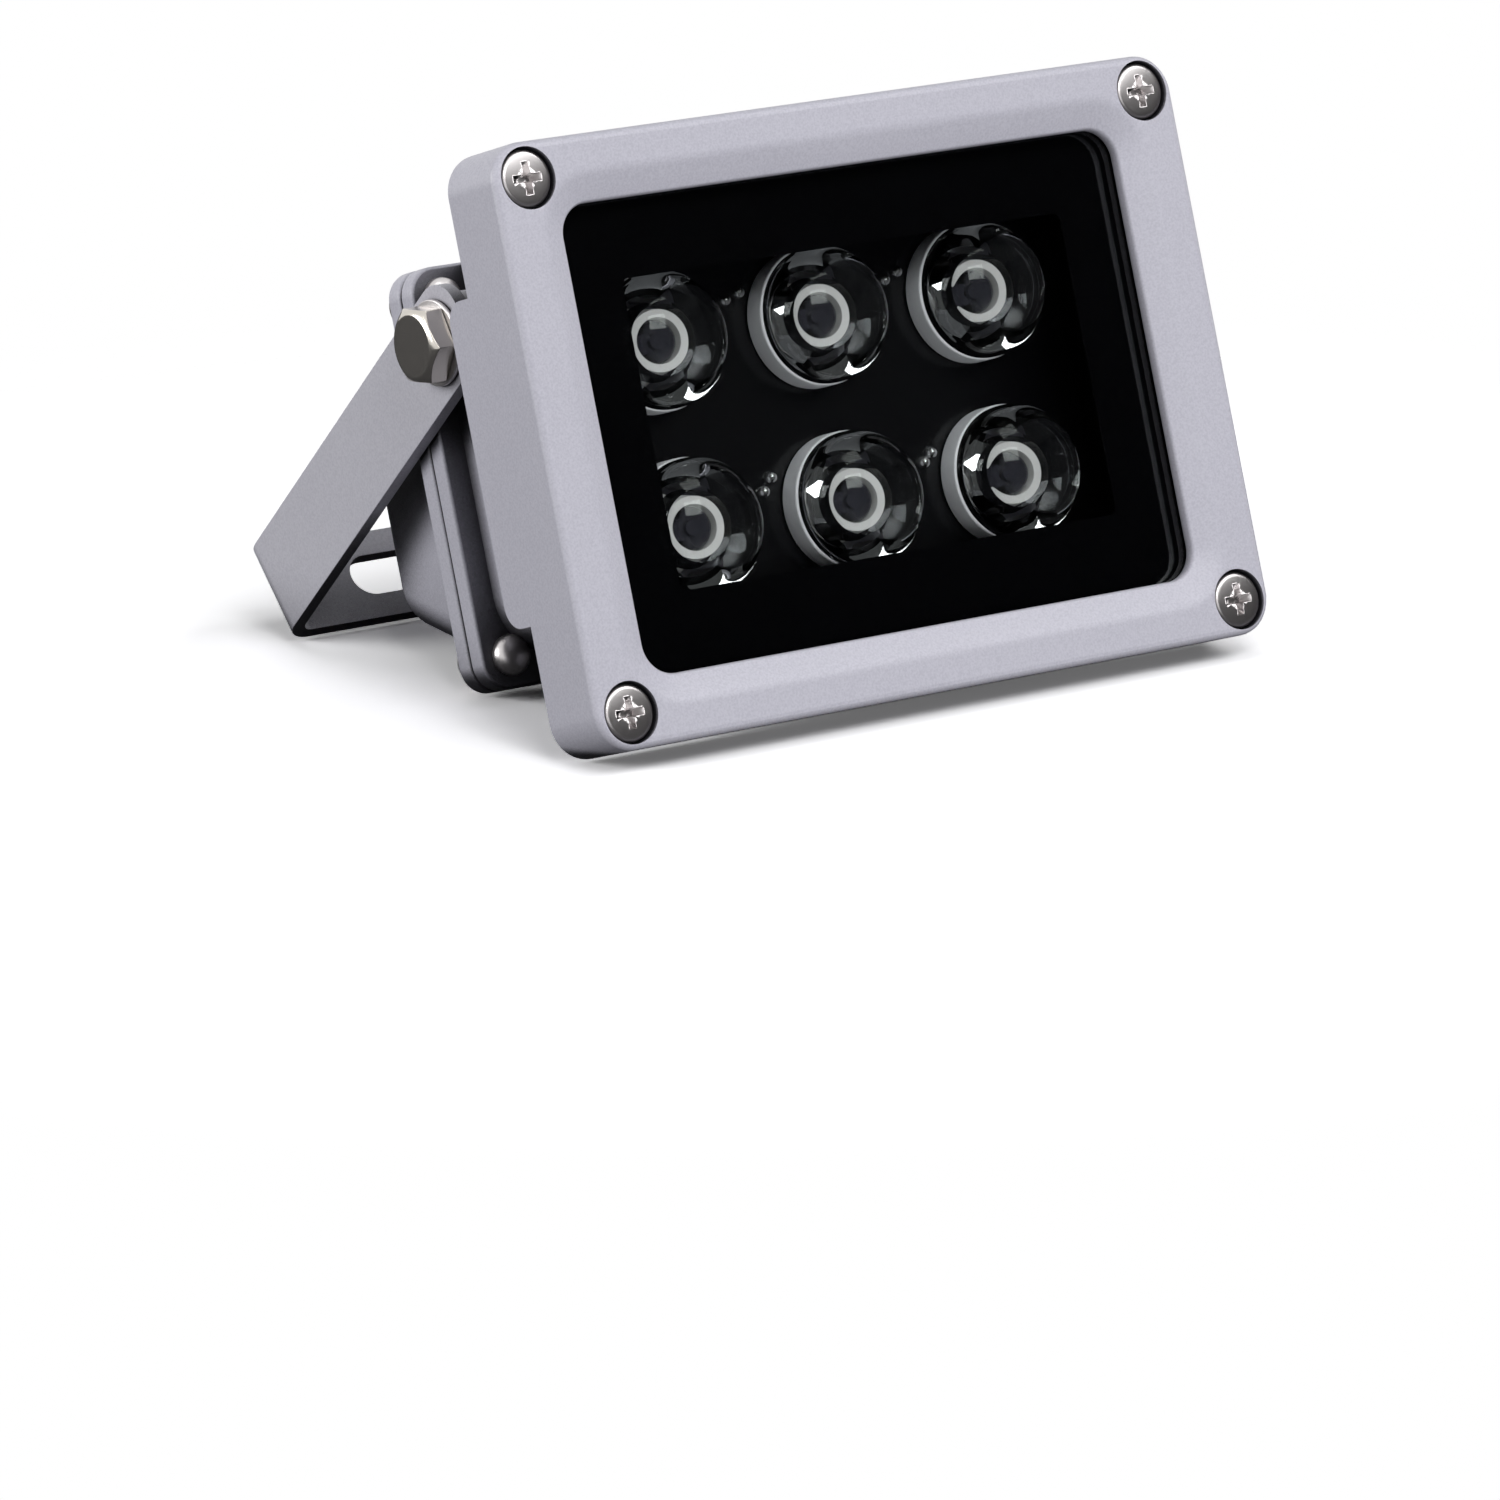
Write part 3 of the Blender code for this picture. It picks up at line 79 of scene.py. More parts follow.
# %% Where the head and the bracket stand
TILT = frame["joints"][0]
PIVOT = Vector(TILT["pos_m"])
PIVOT_DEPTH = 32.4 * MM
PIVOT_RISE = 18.6 * MM
BEZEL_HEIGHT = 83.0 * MM
FLANGE_HEIGHT = 59.5 * MM
SKIRT_DEPTH = 12.0 * MM
COVER_SEAT = 47.5 * MM
LEAN = math.atan2(BEZEL_HEIGHT / 2 - FLANGE_HEIGHT / 2, COVER_SEAT - SKIRT_DEPTH)
FOOT = frame["record"]["mounts"][0]
ARM_SLOPE = math.atan2(-FOOT["axis"][2], FOOT["axis"][1])

HEAD_TURN = Matrix.Rotation(-LEAN, 4, "X")
HEAD_PLACE = Matrix.Translation(PIVOT) @ HEAD_TURN @ Matrix.Translation((0, -PIVOT_DEPTH, -PIVOT_RISE))
ARM_PLACE = Matrix.Translation(PIVOT) @ Matrix.Rotation(-ARM_SLOPE, 4, "X")
print("lean", round(math.degrees(LEAN), 2), "arm slope", round(math.degrees(ARM_SLOPE), 2))

# %% [markdown]
# ## Working with operators
#
# The operators act on whatever is selected, so every step starts by clearing the selection. In
# edit mode the faces and edges are picked by their place or by the way they face.

# %% Selection helpers
ALONG = 0.999


def rest():
    """Back to object mode with nothing selected."""
    if bpy.context.mode != "OBJECT":
        bpy.ops.object.mode_set(mode="OBJECT")
    bpy.ops.object.select_all(action="DESELECT")


def hold(obj):
    """Makes an object the only one selected, and the active one."""
    rest()
    obj.select_set(True)
    bpy.context.view_layer.objects.active = obj
    return obj


def named(name):
    """Names the object that an operator has just added."""
    bpy.context.object.name = name
    return bpy.context.object


def baked(obj):
    """Moves an object's place, turn and size into its mesh."""
    hold(obj)
    bpy.ops.object.transform_apply(location=True, rotation=True, scale=True)
    return obj


def edit(obj):
    """Opens an object for editing, with nothing in it selected."""
    hold(obj)
    bpy.ops.object.mode_set(mode="EDIT")
    bpy.ops.mesh.select_all(action="DESELECT")


def pick(kind, test):
    """In edit mode, selects the elements of one kind that pass a test."""
    bpy.ops.mesh.select_all(action="DESELECT")
    bpy.ops.mesh.select_mode(type={"verts": "VERT", "edges": "EDGE", "faces": "FACE"}[kind])
    mesh = bmesh.from_edit_mesh(bpy.context.object.data)
    for element in [element for element in getattr(mesh, kind) if test(element)]:
        element.select_set(True)
    mesh.select_flush_mode()
    bmesh.update_edit_mesh(bpy.context.object.data)


def is_along(edge, axis):
    """Whether an edge runs along one of the mesh's own axes."""
    span = edge.verts[1].co - edge.verts[0].co
    return abs(span[axis]) > ALONG * span.length


def apply(obj, kind, **settings):
    """Adds a modifier, sets it and applies it."""
    hold(obj)
    step = obj.modifiers.new(kind.title(), kind)
    for name, value in settings.items():
        setattr(step, name, value)
    bpy.ops.object.modifier_apply(modifier=step.name)
    return obj


def combine(obj, operation, other):
    """A Boolean with another object, which is then deleted."""
    apply(obj, "BOOLEAN", operation=operation, object=other, solver="EXACT")
    bpy.data.objects.remove(other, do_unlink=True)
    return obj


def cut(obj, other):
    return combine(obj, "DIFFERENCE", other)


def fuse(obj, other):
    return combine(obj, "UNION", other)


def merged(*objs):
    """Joins objects into the first one, as loose shells of one mesh."""
    rest()
    for obj in objs:
        obj.select_set(True)
    bpy.context.view_layer.objects.active = objs[0]
    bpy.ops.object.join()
    return objs[0]


# %% [markdown]
# ## Finishing a piece
#
# A finished piece is closed, faces outwards and has its sharp edges rounded. It is then turned into
# its place, and says which body it rides with and which solids it stands in for.

# %% Finishing helpers
SMOOTH_ANGLE = math.radians(35)
DOUBLES = 0.001 * MM


def outward(obj):
    """Closes up the doubles and turns every face outwards."""
    edit(obj)
    bpy.ops.mesh.select_all(action="SELECT")
    bpy.ops.mesh.remove_doubles(threshold=DOUBLES)
    bpy.ops.mesh.normals_make_consistent(inside=False)
    rest()
    return obj


def soften(obj, width, segments, angle=30):
    """Rounds the sharp edges, then keeps the broad faces flat in their shading."""
    apply(
        obj,
        "BEVEL",
        width=width,
        segments=segments,
        limit_method="ANGLE",
        angle_limit=math.radians(angle),
        use_clamp_overlap=True,
        miter_outer="MITER_ARC",
    )
    return shade(obj)


def shade(obj, angle=SMOOTH_ANGLE):
    """Smooths the shading, but not over edges sharper than an angle."""
    hold(obj)
    bpy.ops.object.shade_smooth_by_angle(angle=angle)
    apply(obj, "WEIGHTED_NORMAL", keep_sharp=True, mode="FACE_AREA", weight=50)
    return obj


def settle(obj, material, slot, *nodes, place=HEAD_PLACE, body="head"):
    """Puts a finished piece in its place, with its place in its mesh, and ties it to its body."""
    obj.matrix_world = place @ obj.matrix_world
    baked(obj)
    obj.data.materials.clear()
    obj.data.materials.append(material)
    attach(obj, body)
    if nodes:
        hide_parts(*nodes)
    return obj


# %% [markdown]
# ## Blocks, bars and holes
#
# These are added square to the piece's own frame, and then joined, cut or rounded.

# %% Blocks and bars
def block(name, low, high):
    """A box between two corners of the piece's own frame, to be cut, joined or rounded."""
    rest()
    size = [b - a for a, b in zip(low, high)]
    middle = [(a + b) / 2 for a, b in zip(low, high)]
    bpy.ops.mesh.primitive_cube_add(size=1.0, location=middle, scale=size)
    return baked(named(name))


def bar(name, radius, low, high, centre, axis="Y", sides=48, turn=0.0):
    """A round or many-sided bar along the depth, or across the piece where the axis is X."""
    rest()
    middle = (low + high) / 2
    if axis == "Y":
        at, turned_by = (centre[0], middle, centre[1]), (math.pi / 2, turn, 0.0)
    else:
        at, turned_by = (middle, centre[0], centre[1]), (turn, math.pi / 2, 0.0)
    bpy.ops.mesh.primitive_cylinder_add(
        vertices=sides, radius=radius, depth=high - low, location=at, rotation=turned_by
    )
    return baked(named(name))


def drill(obj, radius, front, back, centres, sides=48):
    """Holes of one size, cut in one step."""
    holes = [bar("hole", radius, front, back, centre, sides=sides) for centre in centres]
    return cut(obj, merged(*holes))


def round_off(obj, *rounds):
    """Rounds edges of a block. Each round is a test that picks them, a radius and a count of steps."""
    edit(obj)
    for test, radius, steps in rounds:
        pick("edges", test)
        bpy.ops.mesh.bevel(offset=radius, segments=steps, affect="EDGES", clamp_overlap=False)


# %% [markdown]
# ## Camera and light
#
# The photograph was taken from the left and a little above, with a long lens. A pale floor carries
# the shadow. Three lamps light the face: one from above on the left, a larger and softer one from
# the right, which isn't seen through the glass, and one low in front for the land under the window,
# which no mirror or lens sees. Two more graze the left flank, and a weak one hangs over the object.

# %% Camera
CAMERA_AT = Vector((-673.27, -950.36, 296.99)) * MM
CAMERA_LOOKS = Vector((0.559937, 0.787607, -0.257189))
CAMERA_ROLL = math.radians(-0.393)
SENSOR = 36.0
FOCAL_PIXELS = 8458.1
PHOTO_PIXELS = 1500
CENTRE_PIXEL = (750.5, 732.4)
NEAREST, FARTHEST = 0.01, 20.0

bpy.ops.object.camera_add(location=CAMERA_AT)
camera = named("camera")
camera.data.sensor_width = SENSOR
camera.data.lens = FOCAL_PIXELS * SENSOR / PHOTO_PIXELS
camera.data.shift_x = (PHOTO_PIXELS / 2 - CENTRE_PIXEL[0]) / PHOTO_PIXELS
camera.data.shift_y = (CENTRE_PIXEL[1] - PHOTO_PIXELS / 2) / PHOTO_PIXELS
camera.data.clip_start = NEAREST
camera.data.clip_end = FARTHEST
look = CAMERA_LOOKS.to_track_quat("-Z", "Y").to_matrix().to_4x4()
camera.matrix_world = Matrix.Translation(CAMERA_AT) @ look @ Matrix.Rotation(CAMERA_ROLL, 4, "Z")
bpy.context.scene.camera = camera

# %% Lamps
CENTRE = (CAD_BOX[0] + CAD_BOX[1]) / 2
LAMP_DISTANCE = 1.3
LAMP_SIZE = (0.55, 0.45)
FILL_SIZE = (0.9, 0.7)


def direction(azimuth, elevation):
    """A unit vector from two angles in degrees. Azimuth 0 is in front, and 90 to the right."""
    a, e = math.radians(azimuth), math.radians(elevation)
    return Vector((math.sin(a) * math.cos(e), -math.cos(a) * math.cos(e), math.sin(e)))


def lamp(name, azimuth, elevation, strength, size=LAMP_SIZE):
    """A soft rectangular lamp aimed at the object."""
    away = direction(azimuth, elevation)
    bpy.ops.object.light_add(type="AREA", location=CENTRE + away * LAMP_DISTANCE)
    made = named(name)
    made.data.shape = "RECTANGLE"
    made.data.size, made.data.size_y = size
    made.data.energy = strength
    made.rotation_euler = (-away).to_track_quat("-Z", "Y").to_euler()
    return made


lamp("key_lamp", -18, 42, 3.6)
fill_lamp = lamp("fill_lamp", 40, 44, 5.2, FILL_SIZE)
fill_lamp.visible_transmission = False
lamp("side_lamp", -95, 20, 4.2)
lamp("back_lamp", -125, 10, 6.4)
lamp("top_lamp", 0, 80, 1.6)
low_lamp = lamp("low_front_lamp", 0, 4, 9.6)
low_lamp.visible_glossy = False
low_lamp.visible_transmission = False

# %% [markdown]
# ## Background
#
# The world is white to the eye and to mirrors, but gives matt surfaces and whatever lies behind
# glass only a little light. The floor fades out to the white behind it. A dark card in front is what
# a photographer puts up so that black glass looks black: it shows in mirrors and through the glass.

# %% World and floor
def linear(value):
    """An sRGB hex colour as linear numbers."""
    parts = [int(value[i : i + 2], 16) / 255 for i in (1, 3, 5)]
    return [p / 12.92 if p <= 0.04045 else ((p + 0.055) / 1.055) ** 2.4 for p in parts] + [1.0]


def add(tree, kind, links=None, **settings):
    """Adds a node with its settings, input values and links: a link is an output socket."""
    made = tree.nodes.new(kind)
    for name, value in settings.items():
        setattr(made, name, value)
    for name, value in (links or {}).items():
        socket = made.inputs[name]
        if isinstance(value, bpy.types.NodeSocket):
            tree.links.new(value, socket)
        else:
            socket.default_value = value
    return made


AIR = 0.06
FLOOR_SIZE = 3.0
FLOOR_DROP = 0.3 * MM
FADE_START, FADE_END = 0.10, 0.24

world = bpy.data.worlds.new("studio")
bpy.context.scene.world = world
world.use_nodes = True
tree = world.node_tree
tree.nodes.clear()
path = add(tree, "ShaderNodeLightPath")
mirrored = add(
    tree, "ShaderNodeMath", operation="SUBTRACT",
    links={0: path.outputs["Is Glossy Ray"], 1: path.outputs["Is Transmission Ray"]},
)
seen = add(
    tree, "ShaderNodeMath", operation="MAXIMUM",
    links={0: path.outputs["Is Camera Ray"], 1: mirrored.outputs[0]},
)
level = add(tree, "ShaderNodeMix", links={"Factor": seen.outputs[0], "A": AIR, "B": 1.0})
air = add(tree, "ShaderNodeBackground", links={"Color": (1, 1, 1, 1), "Strength": level.outputs["Result"]})
add(tree, "ShaderNodeOutputWorld", links={"Surface": air.outputs[0]})

bpy.ops.mesh.primitive_plane_add(size=FLOOR_SIZE, location=(0, 0, -FLOOR_DROP))
floor = named("floor")
paint = bpy.data.materials.new("matt_white_floor")
paint.use_nodes = True
tree = paint.node_tree
surface = tree.nodes["Principled BSDF"]
path = add(tree, "ShaderNodeLightPath")
tone = add(
    tree, "ShaderNodeMix", data_type="RGBA",
    links={"Factor": path.outputs["Is Camera Ray"], "A": linear("#5A5A5C"), "B": (1.9, 1.9, 1.92, 1.0)},
)
tree.links.new(tone.outputs["Result"], surface.inputs["Base Color"])
surface.inputs["Roughness"].default_value = 0.9
surface.inputs["Specular IOR Level"].default_value = 0.0
spot = add(tree, "ShaderNodeTexCoord").outputs["Object"]
reach = add(tree, "ShaderNodeVectorMath", operation="LENGTH", links={0: spot})
fade = add(
    tree, "ShaderNodeMapRange", interpolation_type="SMOOTHSTEP",
    links={"Value": reach.outputs["Value"], "From Min": FADE_START, "From Max": FADE_END},
)
clear_air = add(tree, "ShaderNodeBsdfTransparent")
gone = add(
    tree, "ShaderNodeMath", operation="MULTIPLY",
    links={0: fade.outputs["Result"], 1: path.outputs["Is Camera Ray"]},
)
blend = add(
    tree, "ShaderNodeMixShader", links={0: gone.outputs[0], 1: surface.outputs[0], 2: clear_air.outputs[0]}
)
tree.links.new(blend.outputs[0], tree.nodes["Material Output"].inputs["Surface"])
floor.data.materials.append(paint)

# %% A dark card
CARD_TURN = 35.5
CARD_RISE = 12.0
CARD_DISTANCE = 1.9
CARD_SIZE = (3.4, 1.9)

towards_card = direction(CARD_TURN, CARD_RISE)
bpy.ops.mesh.primitive_plane_add(size=1.0, location=CENTRE + towards_card * CARD_DISTANCE)
card = named("dark_card")
card.scale = (*CARD_SIZE, 1.0)
card.rotation_euler = (-towards_card).to_track_quat("Z", "Y").to_euler()
card.visible_camera = False
card.visible_diffuse = False
card.visible_shadow = False
felt = bpy.data.materials.new("black_felt")
felt.use_nodes = True
felt.node_tree.nodes["Principled BSDF"].inputs["Base Color"].default_value = linear("#0C0C0D")
felt.node_tree.nodes["Principled BSDF"].inputs["Specular IOR Level"].default_value = 0.0
card.data.materials.append(felt)

bpy.context.scene.view_settings.view_transform = "Standard"

# %% [markdown]
# ## Powder coat on die-cast aluminium
#
# The head is cast in aluminium and powder coated in a cool light grey. The baked powder leaves a
# faint orange peel, a millimetre or so from crest to crest, and fine bright flecks. The peel is a
# noise in the bump, and the flecks are a much finer noise in the colour, drawn near 0.3 mm because
# real ones would be too small to see. The bracket's coat is slightly lighter. In corners and gaps the
# colour is painted shade: it darkens where other surfaces lie within 4 mm on the bezel, and within
# 24 mm on the body and the bracket, where the gap between the bezel and the rear flange is wide.

# %% Powder coat
CLOUD_SIZE = 18.0 * MM
CLOUD_SHARE = 0.35
PEEL_SIZE = 1.1 * MM
PEEL_HEIGHT = 0.05 * MM
PEEL_STRENGTH = 0.10
FLECK_SIZE = 0.32 * MM
FLECK_RANGE = (0.3, 0.72)
COAT_ROUGHNESS = (0.50, 0.34)
PAINTED_SHADE_RANGE = (0.38, 0.72)


def material(name, **values):
    """A new material with one Principled shader, and its tree."""
    made = bpy.data.materials.new(name)
    made.use_nodes = True
    shader = made.node_tree.nodes["Principled BSDF"]
    for socket, value in values.items():
        shader.inputs[socket.replace("_", " ")].default_value = value
    return made, made.node_tree, shader


def powder_coat(name, colour, shadow, shade_reach):
    """Two close tones of baked powder, with painted shade where other surfaces lie within the reach."""
    made, tree, shader = material(name, Roughness=0.42)
    place = add(tree, "ShaderNodeTexCoord").outputs["Object"]
    cloud = add(tree, "ShaderNodeTexNoise", links={"Vector": place, "Scale": 1 / CLOUD_SIZE, "Detail": 3.0})
    grain = add(tree, "ShaderNodeTexNoise", links={"Vector": place, "Scale": 1 / FLECK_SIZE, "Detail": 1.0})
    low, high = FLECK_RANGE
    spots = add(
        tree, "ShaderNodeMapRange", links={"Value": grain.outputs["Fac"], "From Min": low, "From Max": high}
    )
    blend = add(
        tree, "ShaderNodeMath", operation="MULTIPLY_ADD",
        links={0: cloud.outputs["Fac"], 1: CLOUD_SHARE, 2: spots.outputs["Result"]},
    )
    ramp = add(
        tree, "ShaderNodeMix", data_type="RGBA",
        links={"Factor": blend.outputs[0], "A": linear(shadow), "B": linear(colour)},
    )
    # Painted shade: the colour falls towards the dark grey #2A292E where other surfaces are near.
    shade_occlusion = add(tree, "ShaderNodeAmbientOcclusion", samples=8, links={"Distance": shade_reach})
    low, high = PAINTED_SHADE_RANGE
    unshaded_share = add(
        tree, "ShaderNodeMapRange", interpolation_type="SMOOTHSTEP",
        links={"Value": shade_occlusion.outputs["AO"], "From Min": low, "From Max": high},
    )
    painted_shade = add(
        tree, "ShaderNodeMix", data_type="RGBA",
        links={"Factor": unshaded_share.outputs["Result"], "A": linear("#2A292E"), "B": ramp.outputs["Result"]},
    )
    tree.links.new(painted_shade.outputs["Result"], shader.inputs["Base Color"])
    low, high = COAT_ROUGHNESS
    rough = add(
        tree, "ShaderNodeMapRange", links={"Value": grain.outputs["Fac"], "To Min": low, "To Max": high}
    )
    tree.links.new(rough.outputs["Result"], shader.inputs["Roughness"])
    waves = add(tree, "ShaderNodeTexNoise", links={"Vector": place, "Scale": 1 / PEEL_SIZE, "Detail": 2.0})
    bump = add(
        tree, "ShaderNodeBump",
        links={"Height": waves.outputs["Fac"], "Strength": PEEL_STRENGTH, "Distance": PEEL_HEIGHT},
    )
    tree.links.new(bump.outputs["Normal"], shader.inputs["Normal"])
    return made


# One coat in shaded copies: the bezel paints shade within 4 mm of other surfaces, the body and the bracket within
# 24 mm.
cast_coat = powder_coat("powder_coated_bezel", "#C7C6D1", "#B8B7C3", 4 * MM)
body_coat = powder_coat("powder_coated_body", "#C7C6D1", "#B8B7C3", 24 * MM)
strip_coat = powder_coat("powder_coated_steel_strip", "#CCCBD4", "#BDBCC6", 24 * MM)

# %% [markdown]
# ## Plated steel
#
# The screws and the washers are bright zinc over steel, and the hex bolts are nickel over steel.
# Solder and enamelled wire are as bright. A fine noise in the roughness and a soft bump break the
# reflections up a little.

# %% Plated steel
PLATE_GRAIN = 0.25 * MM
PLATE_HEIGHT = 0.02 * MM
PLATE_STRENGTH = 0.08
PLATE_SPREAD = (-0.06, 0.10)


def plated(name, colour, roughness):
    """Bright metal with a fine grain in its gloss."""
    made, tree, shader = material(name, Metallic=1.0, Base_Color=linear(colour), Roughness=roughness)
    place = add(tree, "ShaderNodeTexCoord").outputs["Object"]
    noise = add(tree, "ShaderNodeTexNoise", links={"Vector": place, "Scale": 1 / PLATE_GRAIN, "Detail": 4.0})
    low, high = (roughness + spread for spread in PLATE_SPREAD)
    rough = add(
        tree, "ShaderNodeMapRange", links={"Value": noise.outputs["Fac"], "To Min": low, "To Max": high}
    )
    tree.links.new(rough.outputs["Result"], shader.inputs["Roughness"])
    bump = add(
        tree, "ShaderNodeBump",
        links={"Height": noise.outputs["Fac"], "Strength": PLATE_STRENGTH, "Distance": PLATE_HEIGHT},
    )
    tree.links.new(bump.outputs["Normal"], shader.inputs["Normal"])
    return made


bright_zinc = plated("bright_zinc_on_steel", "#CFCBCB", 0.30)
nickel = plated("nickel_on_steel", "#CFCAC2", 0.16)
solder = plated("solder", "#ECECEE", 0.22)
copper = plated("enamelled_copper", "#B5693C", 0.30)

# %% [markdown]
# ## Glass, acrylic and what lies behind
#
# The window is float glass with black enamel printed on its inner face, and the lenses are clear
# moulded acrylic. Light from the lamps is let through both as if they weren't there, because
# otherwise the inside would have to wait for rays that find a lamp by chance.

# %% Clear materials
def clear(name, ior, roughness, tint):
    """A refracting material that lets the lamps through."""
    made, tree, shader = material(
        name, IOR=ior, Roughness=roughness, Transmission_Weight=1.0, Base_Color=linear(tint)
    )
    path = add(tree, "ShaderNodeLightPath")
    through = add(tree, "ShaderNodeBsdfTransparent", links={"Color": linear("#F4F4F4")})
    blend = add(
        tree, "ShaderNodeMixShader",
        links={0: path.outputs["Is Shadow Ray"], 1: shader.outputs[0], 2: through.outputs[0]},
    )
    tree.links.new(blend.outputs[0], tree.nodes["Material Output"].inputs["Surface"])
    return made


float_glass = clear("float_glass", 1.52, 0.0, "#F6FAF8")
acrylic = clear("moulded_acrylic", 1.49, 0.01, "#FBFBFF")
silicone = clear("clear_silicone", 1.41, 0.05, "#FDFDFA")

# %% [markdown]
# ## Plastics, rubber and boards
#
# Moulding, printing and coating leave these nearly even. A fine grain in two close tones, which is
# a soft bump as well, keeps them from looking like paint.

# %% Plastics, rubber and board
MOULD_STRENGTH = 0.2


def moulded(name, colour, roughness, grain, depth, second):
    """A moulded or printed surface with a fine grain of a given size."""
    made, tree, shader = material(name, Roughness=roughness)
    place = add(tree, "ShaderNodeTexCoord").outputs["Object"]
    noise = add(tree, "ShaderNodeTexNoise", links={"Vector": place, "Scale": 1 / grain, "Detail": 3.0})
    tone = add(
        tree, "ShaderNodeMix", data_type="RGBA",
        links={"Factor": noise.outputs["Fac"], "A": linear(colour), "B": linear(second)},
    )
    tree.links.new(tone.outputs["Result"], shader.inputs["Base Color"])
    bump = add(
        tree, "ShaderNodeBump",
        links={"Height": noise.outputs["Fac"], "Strength": MOULD_STRENGTH, "Distance": depth},
    )
    tree.links.new(bump.outputs["Normal"], shader.inputs["Normal"])
    return made


enamel_print = moulded("black_enamel_print", "#030304", 0.12, 0.2 * MM, 0.0005 * MM, "#050507")
frosted = moulded("frosted_polycarbonate", "#EDEDF2", 0.55, 0.3 * MM, 0.01 * MM, "#E2E2E8")
ceramic = moulded("white_ceramic_package", "#E6E6E2", 0.35, 0.2 * MM, 0.004 * MM, "#DADAD6")
package = moulded("dark_epoxy_package", "#1C1C20", 0.35, 0.2 * MM, 0.004 * MM, "#26262C")
solder_mask = moulded("black_solder_mask", "#050507", 0.22, 0.4 * MM, 0.002 * MM, "#08080B")
nitrile = moulded("nitrile_rubber", "#121212", 0.75, 0.3 * MM, 0.02 * MM, "#1A1A1A")
black_nylon = moulded("black_nylon", "#161617", 0.46, 0.35 * MM, 0.015 * MM, "#1E1E20")
sleeve = moulded("blue_shrink_sleeve", "#223055", 0.35, 0.4 * MM, 0.006 * MM, "#1B2745")
infrared_die = moulded("infrared_die", "#2A2A30", 0.25, 0.1 * MM, 0.002 * MM, "#3A3A44")

# %% [markdown]
# ## Rings bridged into a skin
#
# Castings with rounded corners are drawn here as rings. Each ring is a plane with its corners
# bevelled and its face taken away. The rings are stacked a centimetre apart to be bridged, because
# Blender can't tell how two rings in one plane lie to each other, and are then pushed to their
# depths. Every ring has the same count of points, so the skin is made of clean quads.

# %% Lofts of rounded rectangles
CORNER_STEPS = 12
RING_STACK = 10.0 * MM


def tag(value):
    """In edit mode, marks the selected vertices with a ring's number."""
    mesh = bmesh.from_edit_mesh(bpy.context.object.data)
    layer = mesh.verts.layers.int.get("ring") or mesh.verts.layers.int.new("ring")
    for vertex in mesh.verts:
        if vertex.select:
            vertex[layer] = value
    bmesh.update_edit_mesh(bpy.context.object.data)


def pick_rings(*numbers):
    """In edit mode, selects the rings with these numbers."""
    mesh = bmesh.from_edit_mesh(bpy.context.object.data)
    layer = mesh.verts.layers.int["ring"]
    bpy.ops.mesh.select_all(action="DESELECT")
    for vertex in mesh.verts:
        vertex.select_set(vertex[layer] in numbers)
    mesh.select_flush(True)
    bmesh.update_edit_mesh(bpy.context.object.data)


def loft(name, rings, capped=True):
    """Bridges rings, each (width, height, corner radius, depth). Uncapped, the last meets the first."""
    rest()
    bpy.ops.mesh.primitive_plane_add(size=1.0, enter_editmode=True)
    obj = named(name)
    bpy.ops.mesh.delete(type="VERT")
    bpy.ops.mesh.select_mode(type="VERT")
    for number, (width, height, radius, _) in enumerate(rings, 1):
        stacked = (0, number * RING_STACK, 0)
        bpy.ops.mesh.select_all(action="DESELECT")
        bpy.ops.mesh.primitive_plane_add(size=1.0, location=stacked, rotation=(math.pi / 2, 0, 0))
        bpy.ops.transform.resize(value=(width, 1.0, height), center_override=stacked)
        bpy.ops.mesh.bevel(offset=radius, segments=CORNER_STEPS, affect="VERTICES", clamp_overlap=False)
        tag(number)
        bpy.ops.mesh.delete(type="ONLY_FACE")
    last = len(rings)
    pairs = [(number, number + 1) for number in range(1, last)]
    if not capped:
        pairs.append((last, 1))
    for pair in pairs:
        pick_rings(*pair)
        bpy.ops.mesh.bridge_edge_loops()
    for number in (1, last) if capped else ():
        pick_rings(number)
        bpy.ops.mesh.edge_face_add()
    for number, ring in enumerate(rings, 1):
        pick_rings(number)
        bpy.ops.transform.translate(value=(0, ring[3] - number * RING_STACK, 0))
    rest()
    obj.data.attributes.remove(obj.data.attributes["ring"])
    return outward(obj)


def rounded_edge(width, height, corner, radius, depth, towards, steps=4):
    """Rings round an outer edge, from the flat face at a depth to the side wall."""
    rings = []
    for step in range(steps + 1):
        angle = math.pi / 2 * step / steps
        inset = radius * (1 - math.sin(angle))
        sunk = depth + towards * radius * (1 - math.cos(angle))
        rings.append((width - 2 * inset, height - 2 * inset, corner - inset, sunk))
    return rings


def plate_rings(width, height, corner, edge, front, back, steps):
    """Rings of a plate whose edges are rounded on both faces."""
    near = rounded_edge(width, height, corner, edge, front, 1, steps)
    far = rounded_edge(width, height, corner, edge, back, -1, steps)
    return near + far[::-1]


def tube(name, outer, inner, front, back):
    """What lies between two rounded rectangles, each (width, height, corner radius)."""
    rings = [(*outer, front), (*outer, back), (*inner, back), (*inner, front)]
    return loft(name, rings, capped=False)


# %% [markdown]
# ## The front frame
#
# The bezel is one casting: a flat front land, a slope that falls to the glass, four round pockets
# for the screws, and a skirt that runs back over the housing. On the left and the right the skirt
# has a long tongue with rounded ends, which hides the pivot from the front.

